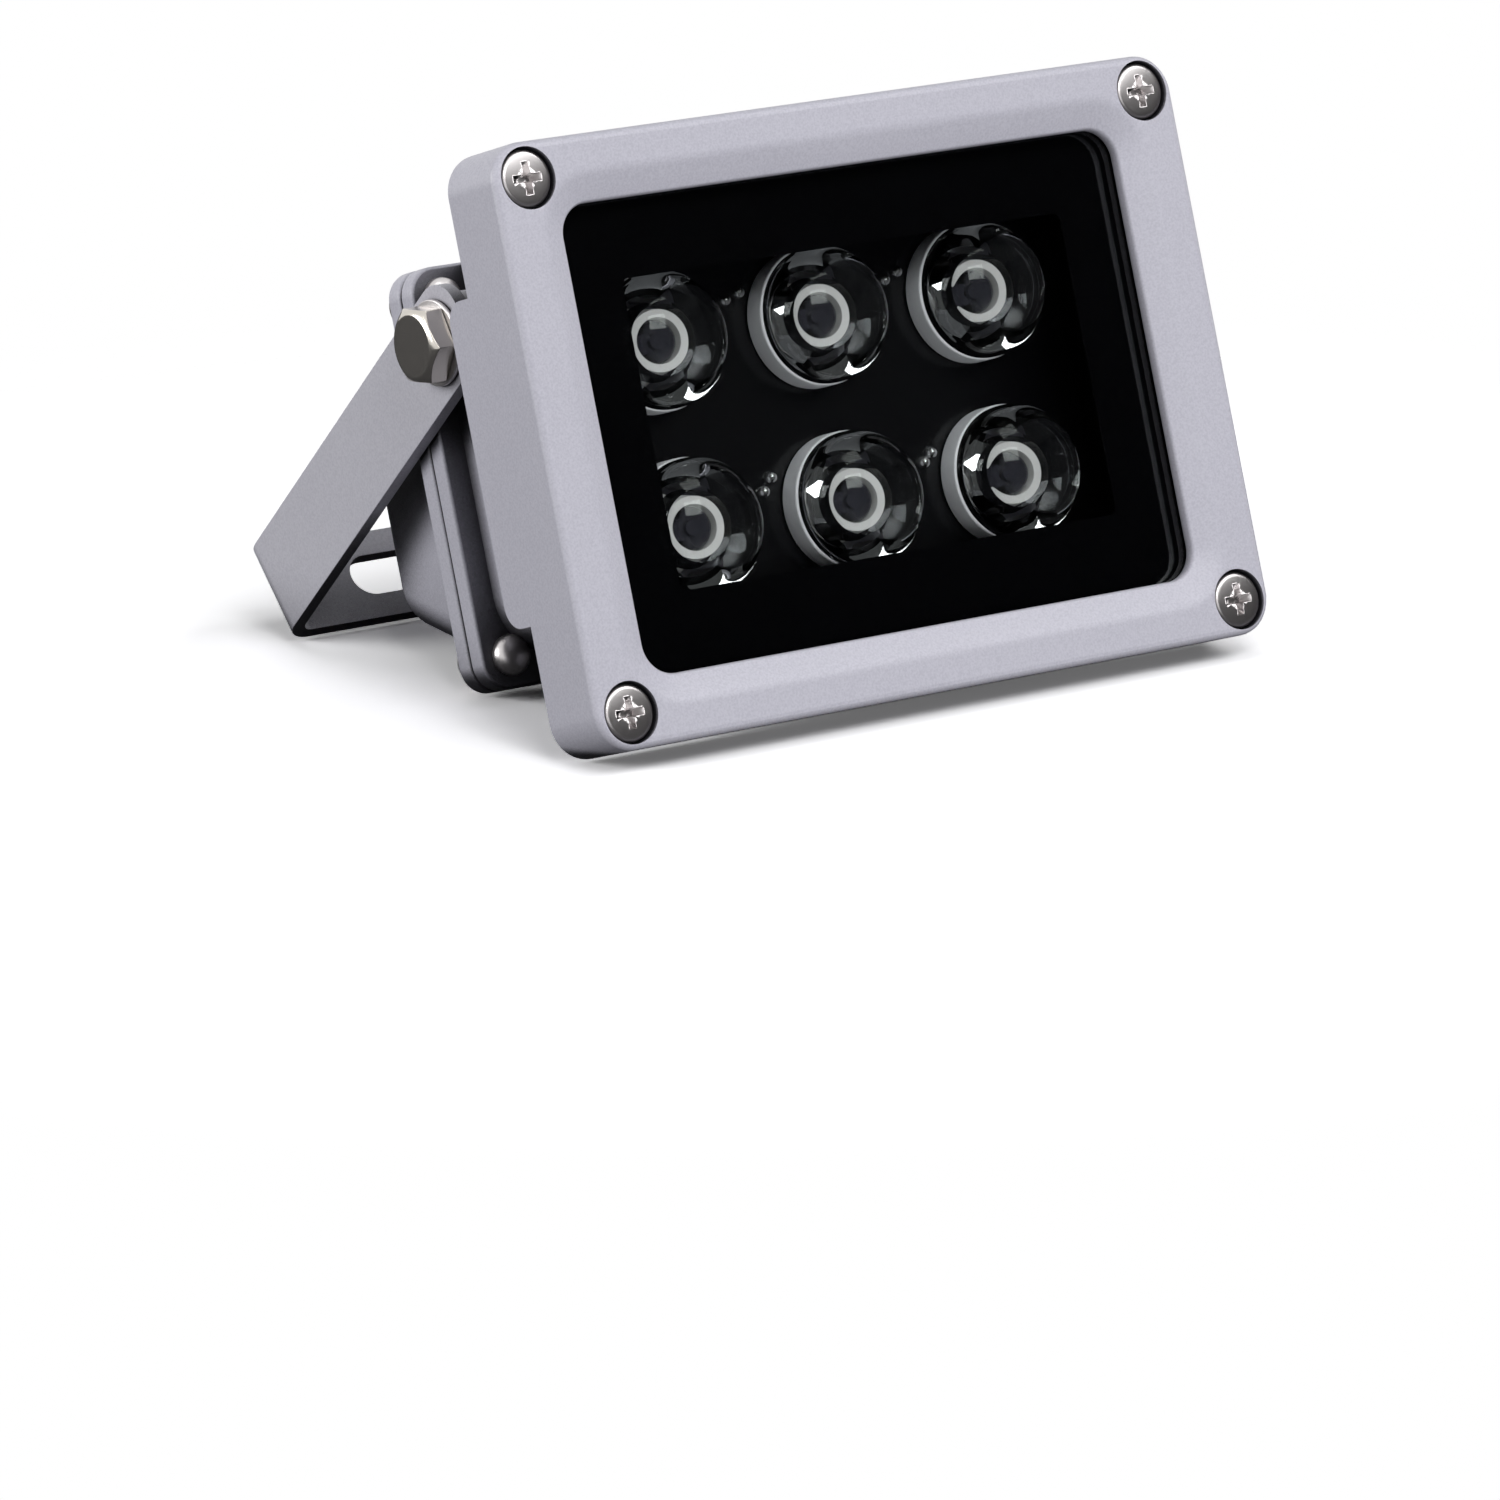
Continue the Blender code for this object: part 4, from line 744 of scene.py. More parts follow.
# %% Front frame
BEZEL_WIDTH = 115.0 * MM
BEZEL_CORNER = 5.5 * MM
BEZEL_EDGE = 1.2 * MM
SKIRT_WALL = 2.2 * MM
TONGUE_DEPTH = 17.6 * MM
TONGUE_HALF = 22.5 * MM
TONGUE_ROUND = 3.3 * MM
FRAME_DEPTH = 8.0 * MM
WINDOW_WIDTH = 94.0 * MM
WINDOW_HEIGHT = 64.5 * MM
WINDOW_CORNER = 4.5 * MM
SLOPE_WIDTH = 4.0 * MM
SLOPE_DROP = 1.8 * MM
CREST_RADIUS = 3.2 * MM
CREST_STEPS = 4
LIP_DEPTH = 3.3 * MM
LIP_EDGE = 0.35 * MM
SEAT_WIDTH = 98.0 * MM
SEAT_HEIGHT = 68.5 * MM
SEAT_CORNER = 6.2 * MM
RIM_EDGE = 0.25 * MM
POCKET_RADIUS = 4.3 * MM
POCKET_DEPTH = 2.9 * MM
SCREW_HOLE_RADIUS = 2.3 * MM
BEZEL_SCREW_X = 52.07 * MM
BEZEL_SCREW_Z = 36.45 * MM


def frame_rings():
    """The frame's section, from its outer edge over the back to the slope and its rounded crest."""
    slope = math.atan2(SLOPE_DROP, SLOPE_WIDTH)
    crest = (WINDOW_WIDTH + 2 * SLOPE_WIDTH, WINDOW_HEIGHT + 2 * SLOPE_WIDTH, WINDOW_CORNER + SLOPE_WIDTH)

    def inside_crest(inset, depth):
        return crest[0] - 2 * inset, crest[1] - 2 * inset, crest[2] - inset, depth

    rings = rounded_edge(BEZEL_WIDTH, BEZEL_HEIGHT, BEZEL_CORNER, BEZEL_EDGE, 0.0, 1)
    back = TONGUE_DEPTH + TONGUE_ROUND
    wall = (BEZEL_WIDTH - 2 * SKIRT_WALL, BEZEL_HEIGHT - 2 * SKIRT_WALL, BEZEL_CORNER - SKIRT_WALL)
    rings += [(BEZEL_WIDTH, BEZEL_HEIGHT, BEZEL_CORNER, back), (*wall, back), (*wall, FRAME_DEPTH)]
    rings += [
        (SEAT_WIDTH, SEAT_HEIGHT, SEAT_CORNER, FRAME_DEPTH),
        (SEAT_WIDTH, SEAT_HEIGHT, SEAT_CORNER, LIP_DEPTH),
        (WINDOW_WIDTH, WINDOW_HEIGHT, WINDOW_CORNER, LIP_DEPTH),
        inside_crest(SLOPE_WIDTH, SLOPE_DROP + LIP_EDGE),
        inside_crest(SLOPE_WIDTH - LIP_EDGE, SLOPE_DROP - LIP_EDGE * math.tan(slope)),
    ]
    reach = CREST_RADIUS * math.tan(slope / 2)
    for step in range(CREST_STEPS, -1, -1):
        turn_by = slope * step / CREST_STEPS
        rings.append(
            inside_crest(CREST_RADIUS * math.sin(turn_by) - reach, CREST_RADIUS * (1 - math.cos(turn_by)))
        )
    return rings


def four_corners(x, z):
    """The places of four screws, mirrored about the middle."""
    return [(side * x, level * z) for level in (1, -1) for side in (-1, 1)]


def tongue_cutter():
    """What is cut off behind the skirt: a block, less a rounded block that keeps the tongues."""
    beyond = 2 * BEZEL_WIDTH
    keeper = block("keeper", (-beyond, -beyond, -TONGUE_HALF), (beyond, TONGUE_DEPTH, TONGUE_HALF))
    round_off(keeper, (lambda edge: is_along(edge, 0) and edge.verts[0].co.y > 0, TONGUE_ROUND, 8))
    half = BEZEL_WIDTH
    return cut(block("cutter", (-half, SKIRT_DEPTH, -half), (half, half, half)), keeper)


def build_front_frame():
    obj = loft("front_frame", frame_rings(), capped=False)
    cut(obj, tongue_cutter())
    centres = four_corners(BEZEL_SCREW_X, BEZEL_SCREW_Z)
    drill(obj, POCKET_RADIUS, -POCKET_DEPTH, POCKET_DEPTH, centres, sides=72)
    drill(obj, SCREW_HOLE_RADIUS, 0.0, 2 * FRAME_DEPTH, centres)
    return soften(outward(obj), RIM_EDGE, segments=2, angle=55)


front_frame = build_front_frame()
settle(front_frame, cast_coat, "painted_casting", "front_bezel")
print("front frame:", len(front_frame.data.polygons), "faces")

# %% [markdown]
# ## The window
#
# A pane of glass sits behind the lip of the frame. Its black print covers all but a rectangle in
# the middle, and cuts across the outer lenses. The print is a thin film behind the glass.

# %% Window pane and print
GLASS_FRONT = 3.6 * MM
GLASS_THICKNESS = 2.0 * MM
GLASS_WIDTH = 97.4 * MM
GLASS_HEIGHT = 67.9 * MM
GLASS_CORNER = 6.2 * MM
CLEAR_WIDTH = 74.6 * MM
CLEAR_HEIGHT = 43.0 * MM
CLEAR_CORNER = 1.2 * MM
GLASS_EDGE = 0.25 * MM
PRINT_FILM = 0.05 * MM

outer = (GLASS_WIDTH, GLASS_HEIGHT, GLASS_CORNER)
inner = (CLEAR_WIDTH, CLEAR_HEIGHT, CLEAR_CORNER)
glass_back = GLASS_FRONT + GLASS_THICKNESS
pane = shade(loft("window_pane", plate_rings(*outer, GLASS_EDGE, GLASS_FRONT, glass_back, 2)))
settle(pane, float_glass, "window_glass", "window_glass")
window_print = shade(tube("window_print", outer, inner, glass_back + HAIR, glass_back + HAIR + PRINT_FILM))
settle(window_print, enamel_print, "rubber")
print("window:", len(pane.data.polygons), "and", len(window_print.data.polygons), "faces")

# %% [markdown]
# ## Turned pieces
#
# Lenses, rings, screws and washers are turned. Each starts as a circle of its first radius, whose
# edge is then extruded and scaled from ring to ring. A ring of no radius closes up in a point.

# %% Turning
COARSE, FINE = math.radians(50), math.radians(25)


def turned(name, profile, centre=(0.0, 0.0), steps=64, looped=False):
    """Turns (radius, depth) pairs about an axis along the depth."""
    rest()
    from_point = profile[0][0] == 0
    first = 1 if from_point else 0
    radius, depth = profile[first]
    bpy.ops.mesh.primitive_circle_add(
        vertices=steps, radius=radius, location=(centre[0], depth, centre[1]), rotation=(math.pi / 2, 0, 0)
    )
    obj = baked(named(name))
    edit(obj)
    bpy.ops.mesh.select_mode(type="VERT")
    bpy.ops.mesh.select_all(action="SELECT")
    if from_point:
        pole = (0, profile[0][1] - depth, 0)
        bpy.ops.mesh.extrude_region_move(TRANSFORM_OT_translate={"value": pole})
        bpy.ops.mesh.merge(type="CENTER")
        pick("edges", lambda edge: edge.is_boundary)
    for wide, deep in profile[first + 1 :]:
        bpy.ops.mesh.extrude_region_move(TRANSFORM_OT_translate={"value": (0, deep - depth, 0)})
        if wide == 0:
            bpy.ops.mesh.merge(type="CENTER")
            break
        factor = wide / radius
        bpy.ops.transform.resize(value=(factor, 1, factor), center_override=(centre[0], deep, centre[1]))
        radius, depth = wide, deep
    if looped:
        pick("edges", lambda edge: edge.is_boundary)
        bpy.ops.mesh.bridge_edge_loops()
    rest()
    return outward(obj)


def dome(radius, height, base, steps):
    """Pairs from a dome's pole to its base circle; the dome rises against the depth."""
    arcs = [math.pi / 2 * step / steps for step in range(steps + 1)]
    return [(radius * math.sin(angle), base - height * math.cos(angle)) for angle in arcs]


# %% [markdown]
# ## Lenses, holders and emitters
#
# Each emitter is a dark package with a white ceramic collar, and in the collar a chip under a low
# clear cap. A frosted ring stands on the board round it, and an acrylic dome lens sits in the ring,
# its tail reaching down over the emitter. Six of them stand in two rows of three.

# %% Emitters
LENS_PITCH_X = 27.3 * MM
LENS_PITCH_Z = 26.0 * MM
LENS_RADIUS = 9.6 * MM
DOME_HEIGHT = 7.6 * MM
DOME_BASE = 13.5 * MM
LENS_BRIM = 0.8 * MM
LENS_SEAT_RADIUS = 7.6 * MM
LENS_TAIL_RADIUS = 4.4 * MM
LENS_TAIL = 3.1 * MM
LENS_RECESS_RADIUS = 3.7 * MM
LENS_RECESS = 0.9 * MM
HOLDER_RADIUS = 9.8 * MM
HOLDER_BORE = 7.9 * MM
HOLDER_FRONT = 14.6 * MM
HOLDER_BACK = 17.9 * MM
HOLDER_EDGE = 0.3 * MM
BOARD_FRONT = 18.2 * MM
LED_HALF = 3.5 * MM
LED_FRONT = 17.1 * MM
LED_GAP = 0.05 * MM
LED_EDGE = 0.2 * MM
LED_DOME_RADIUS = 2.1 * MM
LED_DOME_HEIGHT = 0.5 * MM
CHIP_RADIUS = 2.15 * MM
CHIP_FRONT = 15.2 * MM
DIE_RADIUS = 0.8 * MM
DIE_HEIGHT = 0.2 * MM
COLLAR_BORE = 2.2 * MM
COLLAR_MOUTH = 2.35 * MM
COLLAR_OUTER = 3.15 * MM
COLLAR_TOP = 14.75 * MM
BAFFLE_GAP = 0.04 * MM
BAFFLE_WALL = 0.12 * MM
BAFFLE_LIFT = 0.1 * MM
BAFFLE_BRIM = 0.5 * MM


def emitter_centres():
    """From the upper left to the lower right, as the nodes are numbered."""
    return [
        (column * LENS_PITCH_X, (0.5 - row) * LENS_PITCH_Z) for row in range(2) for column in (-1, 0, 1)
    ]


def build_lens(name, centre):
    brim, tail, recess = (DOME_BASE + step for step in (LENS_BRIM, LENS_TAIL, LENS_RECESS))
    profile = dome(LENS_RADIUS, DOME_HEIGHT, DOME_BASE, 20)
    profile += [(LENS_RADIUS, brim), (LENS_SEAT_RADIUS, brim), (LENS_TAIL_RADIUS, tail)]
    profile += [(LENS_RECESS_RADIUS, tail), (LENS_RECESS_RADIUS, recess), (0.0, recess)]
    return shade(turned(name, profile, centre, steps=72), FINE)


def build_holder(name, centre):
    shoulder = HOLDER_FRONT + HOLDER_EDGE
    profile = [(HOLDER_BORE, HOLDER_BACK), (HOLDER_BORE, shoulder), (HOLDER_BORE + HOLDER_EDGE, HOLDER_FRONT)]
    profile += [(HOLDER_RADIUS - HOLDER_EDGE, HOLDER_FRONT), (HOLDER_RADIUS, shoulder)]
    profile.append((HOLDER_RADIUS, HOLDER_BACK))
    return shade(turned(name, profile, centre, steps=64, looped=True), COARSE)


def build_led(name, centre):
    low = (centre[0] - LED_HALF, LED_FRONT + LED_GAP, centre[1] - LED_HALF)
    high = (centre[0] + LED_HALF, BOARD_FRONT - LED_GAP, centre[1] + LED_HALF)
    return soften(block(name, low, high), LED_EDGE, segments=2)


def build_led_dome(name, centre):
    base = CHIP_FRONT - HAIR
    profile = dome(LED_DOME_RADIUS, LED_DOME_HEIGHT, base, 10) + [(0.0, base)]
    return shade(turned(name, profile, centre, steps=40))


def build_reflector(name, centre):
    """The white collar round the chip, seen through the lens as a bright ring."""
    back = LED_FRONT + 2 * HAIR
    profile = [(COLLAR_BORE, back), (COLLAR_MOUTH, COLLAR_TOP)]
    profile += [(COLLAR_OUTER, COLLAR_TOP), (COLLAR_OUTER, back)]
    return shade(turned(name, profile, centre, steps=48, looped=True), COARSE)


def build_die(name, centre):
    """The dark chip in the collar, with the die as a low stage in its middle."""
    top, back = CHIP_FRONT - DIE_HEIGHT, LED_FRONT + 2 * HAIR
    profile = [(0.0, top), (DIE_RADIUS, top), (DIE_RADIUS, CHIP_FRONT), (CHIP_RADIUS, CHIP_FRONT)]
    return shade(turned(name, profile + [(CHIP_RADIUS, back), (0.0, back)], centre, steps=40))


def build_baffle(name, centre):
    """A thin black seat between lens and ring, so that the lens stays dark beside its emitter."""
    outer, back = HOLDER_BORE - BAFFLE_GAP, HOLDER_FRONT - BAFFLE_GAP
    inner, front = outer - BAFFLE_WALL, back - BAFFLE_WALL
    end, brim = HOLDER_BACK - BAFFLE_LIFT, HOLDER_RADIUS - BAFFLE_BRIM
    profile = [(inner, end), (inner, front), (brim, front), (brim, back), (outer, back), (outer, end)]
    return shade(turned(name, profile, centre, steps=64, looped=True), COARSE)


EMITTER_PIECES = (
    (build_lens, "dome_lens", acrylic, "clear_lens", "lens"),
    (build_holder, "frosted_ring", frosted, "holder", "lens_holder"),
    (build_led, "led_package", package, "emitter", "led"),
    (build_led_dome, "led_dome", silicone, "clear_lens", None),
    (build_reflector, "reflector", ceramic, "holder", None),
    (build_die, "die", infrared_die, "emitter", None),
    (build_baffle, "baffle", enamel_print, "rubber", None),
)
for number, centre in enumerate(emitter_centres(), 1):
    for build, name, finish, slot, node in EMITTER_PIECES:
        nodes = [f"{node}_{number}"] if node else []
        settle(build(f"{name}_{number}", centre), finish, slot, *nodes)

# %% [markdown]
# ## The board
#
# The board that carries the emitters is black. Beads of solder stand on it in pairs beside the
# middle lenses, and catch the light.

# %% Board and solder beads
BOARD_SIZE = (87.3 * MM, 58.8 * MM)
BOARD_CORNER = 2.0 * MM
BOARD_BACK = 19.8 * MM
BOARD_HOLE = (40.05 * MM, 25.8 * MM)
BOARD_HOLE_RADIUS = 1.55 * MM
BOARD_EDGE = 0.1 * MM
BEAD_RADIUS = 0.95 * MM
BEAD_HEIGHT = 1.3 * MM
BEADS = ((-12.9, 17.3), (-10.4, 18.1), (14.3, 16.7), (16.6, 17.6))
BEADS += ((-10.9, -7.9), (-12.5, -9.7), (16.6, -8.2), (15.1, -9.4))

board = loft("emitter_board", plate_rings(*BOARD_SIZE, BOARD_CORNER, BOARD_EDGE, BOARD_FRONT, BOARD_BACK, 1))
drill(board, BOARD_HOLE_RADIUS, BOARD_FRONT - OVER, BOARD_BACK + OVER, four_corners(*BOARD_HOLE), sides=32)
settle(shade(board), solder_mask, "board", "led_board")
bead_base = BOARD_FRONT - HAIR
bead_profile = dome(BEAD_RADIUS, BEAD_HEIGHT, bead_base, 6) + [(0.0, bead_base)]
for number, (x, z) in enumerate(BEADS, 1):
    bead = shade(turned(f"solder_bead_{number}", bead_profile, (x * MM, z * MM), steps=24))
    settle(bead, solder, "steel")

# %% [markdown]
# ## Screws
#
# Each pan head is turned: a low crown, a rounded rim and the shank in one profile. The cross recess
# is two tapered wedges and a cone, cut into the crown. A screw is built once on the axis and then
# duplicated to its places. The screws of the rear flange come through it from behind, and end in
# round caps in front of it.

# %% Pan head screws
SCREW_CROWN = 0.16 * MM
SCREW_RIM = 0.8 * MM
SHANK_RADIUS = 2.0 * MM
SHANK_TIP = 0.6 * MM
CROSS_SPAN = 4.6 * MM
CROSS_SLOT = 1.1 * MM
CROSS_DEPTH = 1.7 * MM
CROSS_CONE = 0.95 * MM
CROSS_TAPER = 0.4
SCREW_EDGE = 0.05 * MM
BEZEL_HEAD = (4.0 * MM, 2.6 * MM, 0.2 * MM)
BEZEL_TIP = 12.2 * MM
REAR_HEAD = (3.5 * MM, 47.6 * MM, 49.9 * MM)
REAR_CAP = (2.9 * MM, 40.9 * MM, 38.7 * MM)
REAR_CAP_SIDE = 0.5 * MM
REAR_SCREW_X = 43.15 * MM
REAR_SCREW_Z = 25.15 * MM
SMALL_HEAD = (2.5 * MM, 18.1 * MM, 16.5 * MM)
SMALL_TIP = 22.9 * MM
SMALL_SHANK = 1.25 * MM
SMALL_SHARE = 0.6


def wedge(name, low, high, share, far):
    """A block whose face at one depth is shrunk to a share of its size."""
    obj = block(name, low, high)
    edit(obj)
    pick("faces", lambda face: abs(face.calc_center_median().y - far) < HAIR)
    middle = [(a + b) / 2 for a, b in zip(low, high)]
    middle[1] = far
    bpy.ops.transform.resize(value=(share, 1.0, share), center_override=middle)
    rest()
    return obj


def end_dome(radius, base, end, steps=6):
    """Pairs from a shank's edge over its domed end to the axis."""
    pairs = []
    for step in range(steps + 1):
        angle = math.pi / 2 * step / steps
        wide = radius * math.cos(angle) if step < steps else 0.0
        pairs.append((wide, base + (end - base) * math.sin(angle)))
    return pairs


def build_screw(head, ending, share=1.0):
    """A screw from the top of its head to its end. The head is a radius, a seat and a top."""
    radius, seat, top = head
    way = 1 if top < seat else -1
    crown, rim = SCREW_CROWN * share, SCREW_RIM * share
    profile = [(0.0, top)]
    for step in range(1, 5):
        profile.append(((radius - rim) * step / 4, top + way * crown * (step / 4) ** 2))
    for step in range(1, 6):
        angle = math.pi / 2 * step / 5
        wide = radius - rim * (1 - math.sin(angle))
        profile.append((wide, top + way * (crown + rim * (1 - math.cos(angle)))))
    profile.append((radius, seat))
    obj = turned("screw", profile + ending, steps=64)
    depth = way * CROSS_DEPTH * share
    bottom, above = top + depth, top - depth
    for wide, tall in ((CROSS_SPAN, CROSS_SLOT), (CROSS_SLOT, CROSS_SPAN)):
        half_wide, half_tall = wide * share / (1 + CROSS_TAPER), tall * share / (1 + CROSS_TAPER)
        low = (-half_wide, min(above, bottom), -half_tall)
        high = (half_wide, max(above, bottom), half_tall)
        cut(obj, wedge("recess", low, high, CROSS_TAPER, bottom))
    tip = CROSS_TAPER * CROSS_SLOT * share
    cone = [(0.0, above), (2 * CROSS_CONE * share - tip, above), (tip, bottom), (0.0, bottom)]
    cut(obj, turned("recess", cone, steps=24))
    return soften(obj, SCREW_EDGE, segments=2, angle=40)


def place_screws(screw, name, nodes, centres):
    """Duplicates a screw to its places, and takes the first one away."""
    for number, (x, z) in enumerate(centres, 1):
        hold(screw)
        bpy.ops.object.duplicate()
        copy = named(f"{name}_{number}")
        bpy.ops.transform.translate(value=(x, 0, z))
        settle(copy, bright_zinc, "steel", f"{nodes}_{number}")
    bpy.data.objects.remove(screw, do_unlink=True)


bezel_end = [(SHANK_RADIUS, BEZEL_HEAD[1])] + end_dome(SHANK_RADIUS, BEZEL_TIP - SHANK_TIP, BEZEL_TIP)
screw = build_screw(BEZEL_HEAD, bezel_end)
print("screw:", len(screw.data.polygons), "faces")
place_screws(screw, "front_screw", "bezel_screw", four_corners(BEZEL_SCREW_X, BEZEL_SCREW_Z))
cap_radius, cap_base, cap_top = REAR_CAP
rear_end = [(SHANK_RADIUS, REAR_HEAD[1]), (SHANK_RADIUS, cap_base), (cap_radius, cap_base)]
rear_end += end_dome(cap_radius, cap_base - REAR_CAP_SIDE, cap_top)
rear_screw = build_screw(REAR_HEAD, rear_end)
place_screws(rear_screw, "flange_screw", "rear_screw", four_corners(REAR_SCREW_X, REAR_SCREW_Z))
small_end = [(SMALL_SHANK, SMALL_HEAD[1])] + end_dome(SMALL_SHANK, SMALL_TIP - SMALL_SHANK / 2, SMALL_TIP)
small_screw = build_screw(SMALL_HEAD, small_end, SMALL_SHARE)
place_screws(small_screw, "small_screw", "board_screw", four_corners(*BOARD_HOLE))

# %% [markdown]
# ## Pivot bolts
#
# A hex bar meets a turned body with a low cone on its face, and what they share is a bolt head with
# its round chamfer. The bolts and washers are modelled with the pivot as their axis, outwards being
# the depth, and are turned to the left or the right.

# %% Pivot bolts and washers
BOLT_FACE = 54.8 * MM
BOLT_SEAT = 51.4 * MM
BOLT_CORNERS = 5.77 * MM
BOLT_TURN = math.radians(12)
BOLT_CHAMFER_RADIUS = 4.5 * MM
BOLT_CHAMFER_DROP = 0.85 * MM
BOLT_FACE_EDGE = (0.3 * MM, 0.05 * MM)
BOLT_EDGE = 0.12 * MM
BOLT_SHANK = 3.0 * MM
BOLT_END = 39.4 * MM
WASHER_FRONT = 51.3 * MM
WASHER_BACK = 50.5 * MM
WASHER_RADIUS = 6.0 * MM
WASHER_BORE = 3.2 * MM
WASHER_EDGE = 0.15 * MM


def build_bolt(name, side):
    turn = math.pi / 2 + side * BOLT_TURN
    obj = bar(name, BOLT_CORNERS, BOLT_SEAT, BOLT_FACE, (0.0, 0.0), sides=6, turn=turn)
    wide = 2 * BOLT_CORNERS - BOLT_CHAMFER_RADIUS
    drop = BOLT_CHAMFER_DROP * (wide - BOLT_CHAMFER_RADIUS) / (BOLT_CORNERS - BOLT_CHAMFER_RADIUS)
    inset, sunk = BOLT_FACE_EDGE
    profile = [(0.0, BOLT_FACE), (BOLT_CHAMFER_RADIUS - inset, BOLT_FACE)]
    profile += [(BOLT_CHAMFER_RADIUS, BOLT_FACE - sunk), (wide, BOLT_FACE - drop)]
    profile += [(wide, BOLT_SEAT - OVER), (0.0, BOLT_SEAT - OVER)]
    combine(obj, "INTERSECT", turned("chamfer", profile, steps=96))
    shank = bar("shank", BOLT_SHANK, BOLT_END, BOLT_SEAT + OVER / 2, (0.0, 0.0))
    return shade(soften(fuse(obj, shank), BOLT_EDGE, segments=2, angle=25), math.radians(40))


def build_washer(name):
    inside = WASHER_RADIUS - WASHER_EDGE
    profile = [(WASHER_BORE, WASHER_FRONT), (inside, WASHER_FRONT)]
    profile += [(WASHER_RADIUS, WASHER_FRONT - WASHER_EDGE), (WASHER_RADIUS, WASHER_BACK + WASHER_EDGE)]
    profile += [(inside, WASHER_BACK), (WASHER_BORE, WASHER_BACK)]
    return shade(turned(name, profile, steps=72, looped=True), COARSE)


PIVOT_PLACE = HEAD_PLACE @ Matrix.Translation((0, PIVOT_DEPTH, PIVOT_RISE))
for side, word in ((-1, "left"), (1, "right")):
    place = PIVOT_PLACE @ Matrix.Rotation(-side * math.pi / 2, 4, "Z")
    bolt = build_bolt(f"hex_bolt_{word}", side)
    settle(bolt, nickel, "steel", f"pivot_bolt_{word}", place=place)
    washer = build_washer(f"flat_washer_{word}")
    settle(washer, bright_zinc, "steel", f"pivot_washer_{word}", place=place)
print("bolt:", len(bolt.data.polygons), "faces")

# %% [markdown]
# ## The bracket
#
# A flat strip bent into a U. A block with two rounded edges, less a smaller one, gives the strip its
# even wall through the bends. The tips are rounded, and the foot has two slots and a centre hole.

# %% Bracket
ARM_OUTSIDE = 50.4 * MM
STRIP = 2.0 * MM
STRIP_HALF = 7.15 * MM
BEND_RADIUS = 4.0 * MM
ARM_LENGTH = 65.0 * MM
TIP_REACH = 7.4 * MM
TIP_CORNER = 5.5 * MM
ARM_HOLE_RADIUS = 3.3 * MM
SLOT_AT = 28.9 * MM
SLOT_HALF_LENGTH = 7.5 * MM
SLOT_RADIUS = 3.25 * MM
SLOT_SHARE = 0.999
CENTRE_HOLE_RADIUS = 4.25 * MM
STRIP_EDGE = 0.22 * MM
ARM_DRILL = 60.0 * MM


def at_foot(edge):
    """Whether an edge runs across the strip where the foot meets an arm."""
    return is_along(edge, 2) and edge.verts[0].co.y > 0


def at_tip(edge):
    """Whether an edge is a corner of an arm's end."""
    return is_along(edge, 0) and max(vertex.co.y for vertex in edge.verts) < 0


def build_bracket():
    low, high = (-ARM_OUTSIDE, -TIP_REACH, -STRIP_HALF), (ARM_OUTSIDE, ARM_LENGTH, STRIP_HALF)
    obj = block("bent_strip", low, high)
    round_off(obj, (at_foot, BEND_RADIUS, 10), (at_tip, TIP_CORNER, 10))
    inside = ARM_OUTSIDE - STRIP
    low, high = (-inside, -2 * TIP_REACH, -2 * STRIP_HALF), (inside, ARM_LENGTH - STRIP, 2 * STRIP_HALF)
    room = block("room", low, high)
    round_off(room, (at_foot, BEND_RADIUS - STRIP, 10))
    cut(obj, room)
    front, back = ARM_LENGTH - 2 * STRIP, ARM_LENGTH + STRIP
    for side in (-1, 1):
        low = (side * SLOT_AT - SLOT_HALF_LENGTH, front, -SLOT_RADIUS)
        slot = block("slot", low, (side * SLOT_AT + SLOT_HALF_LENGTH, back, SLOT_RADIUS))
        round_off(slot, (lambda edge: is_along(edge, 1), SLOT_RADIUS * SLOT_SHARE, 12))
        cut(obj, slot)
    drill(obj, CENTRE_HOLE_RADIUS, front, back, [(0.0, 0.0)], sides=64)
    cut(obj, bar("hole", ARM_HOLE_RADIUS, -ARM_DRILL, ARM_DRILL, (0.0, 0.0), axis="X"))
    return soften(outward(obj), STRIP_EDGE, segments=3, angle=40)


bracket = build_bracket()
settle(bracket, strip_coat, "painted_strip", "bracket", place=ARM_PLACE, body="bracket")
print("bracket:", len(bracket.data.polygons), "faces")

# %% [markdown]
# ## The rear cover
#
# A flange and a box that tapers to the back, hollow inside. Each screw stands in a round channel
# that is cut down through the box to the flange.

# %% Rear cover
FLANGE_WIDTH = 95.5 * MM
FLANGE_CORNER = 4.0 * MM
COVER_FRONT = 44.4 * MM
COVER_BACK = 69.0 * MM
COVER_EDGE = 2.4 * MM
COVER_BASE = (88.0 * MM, 54.0 * MM)
COVER_END = (83.5 * MM, 36.5 * MM)
COVER_CORNER = 6.0 * MM
COVER_WALL = 2.6 * MM
CHANNEL_RADIUS = 4.0 * MM
BAY = (77.0 * MM, 41.0 * MM)
BAY_END = (77.0 * MM, 29.0 * MM)
BAY_CORNER = 4.0 * MM
GLAND_AT = (0.0, -4.0 * MM)
GLAND_ENTRY = 6.2 * MM
FLANGE_EDGE = 0.5 * MM
SEAL_IN = 0.7 * MM
SEAL_OUT = 3.1 * MM
SEAL_DEPTH = 1.5 * MM
GAP = 0.3 * MM


def build_flange(name, front, back):
    """The flange of the housing or of the cover, which are of one size."""
    return loft(name, plate_rings(FLANGE_WIDTH, FLANGE_HEIGHT, FLANGE_CORNER, FLANGE_EDGE, front, back, 3))


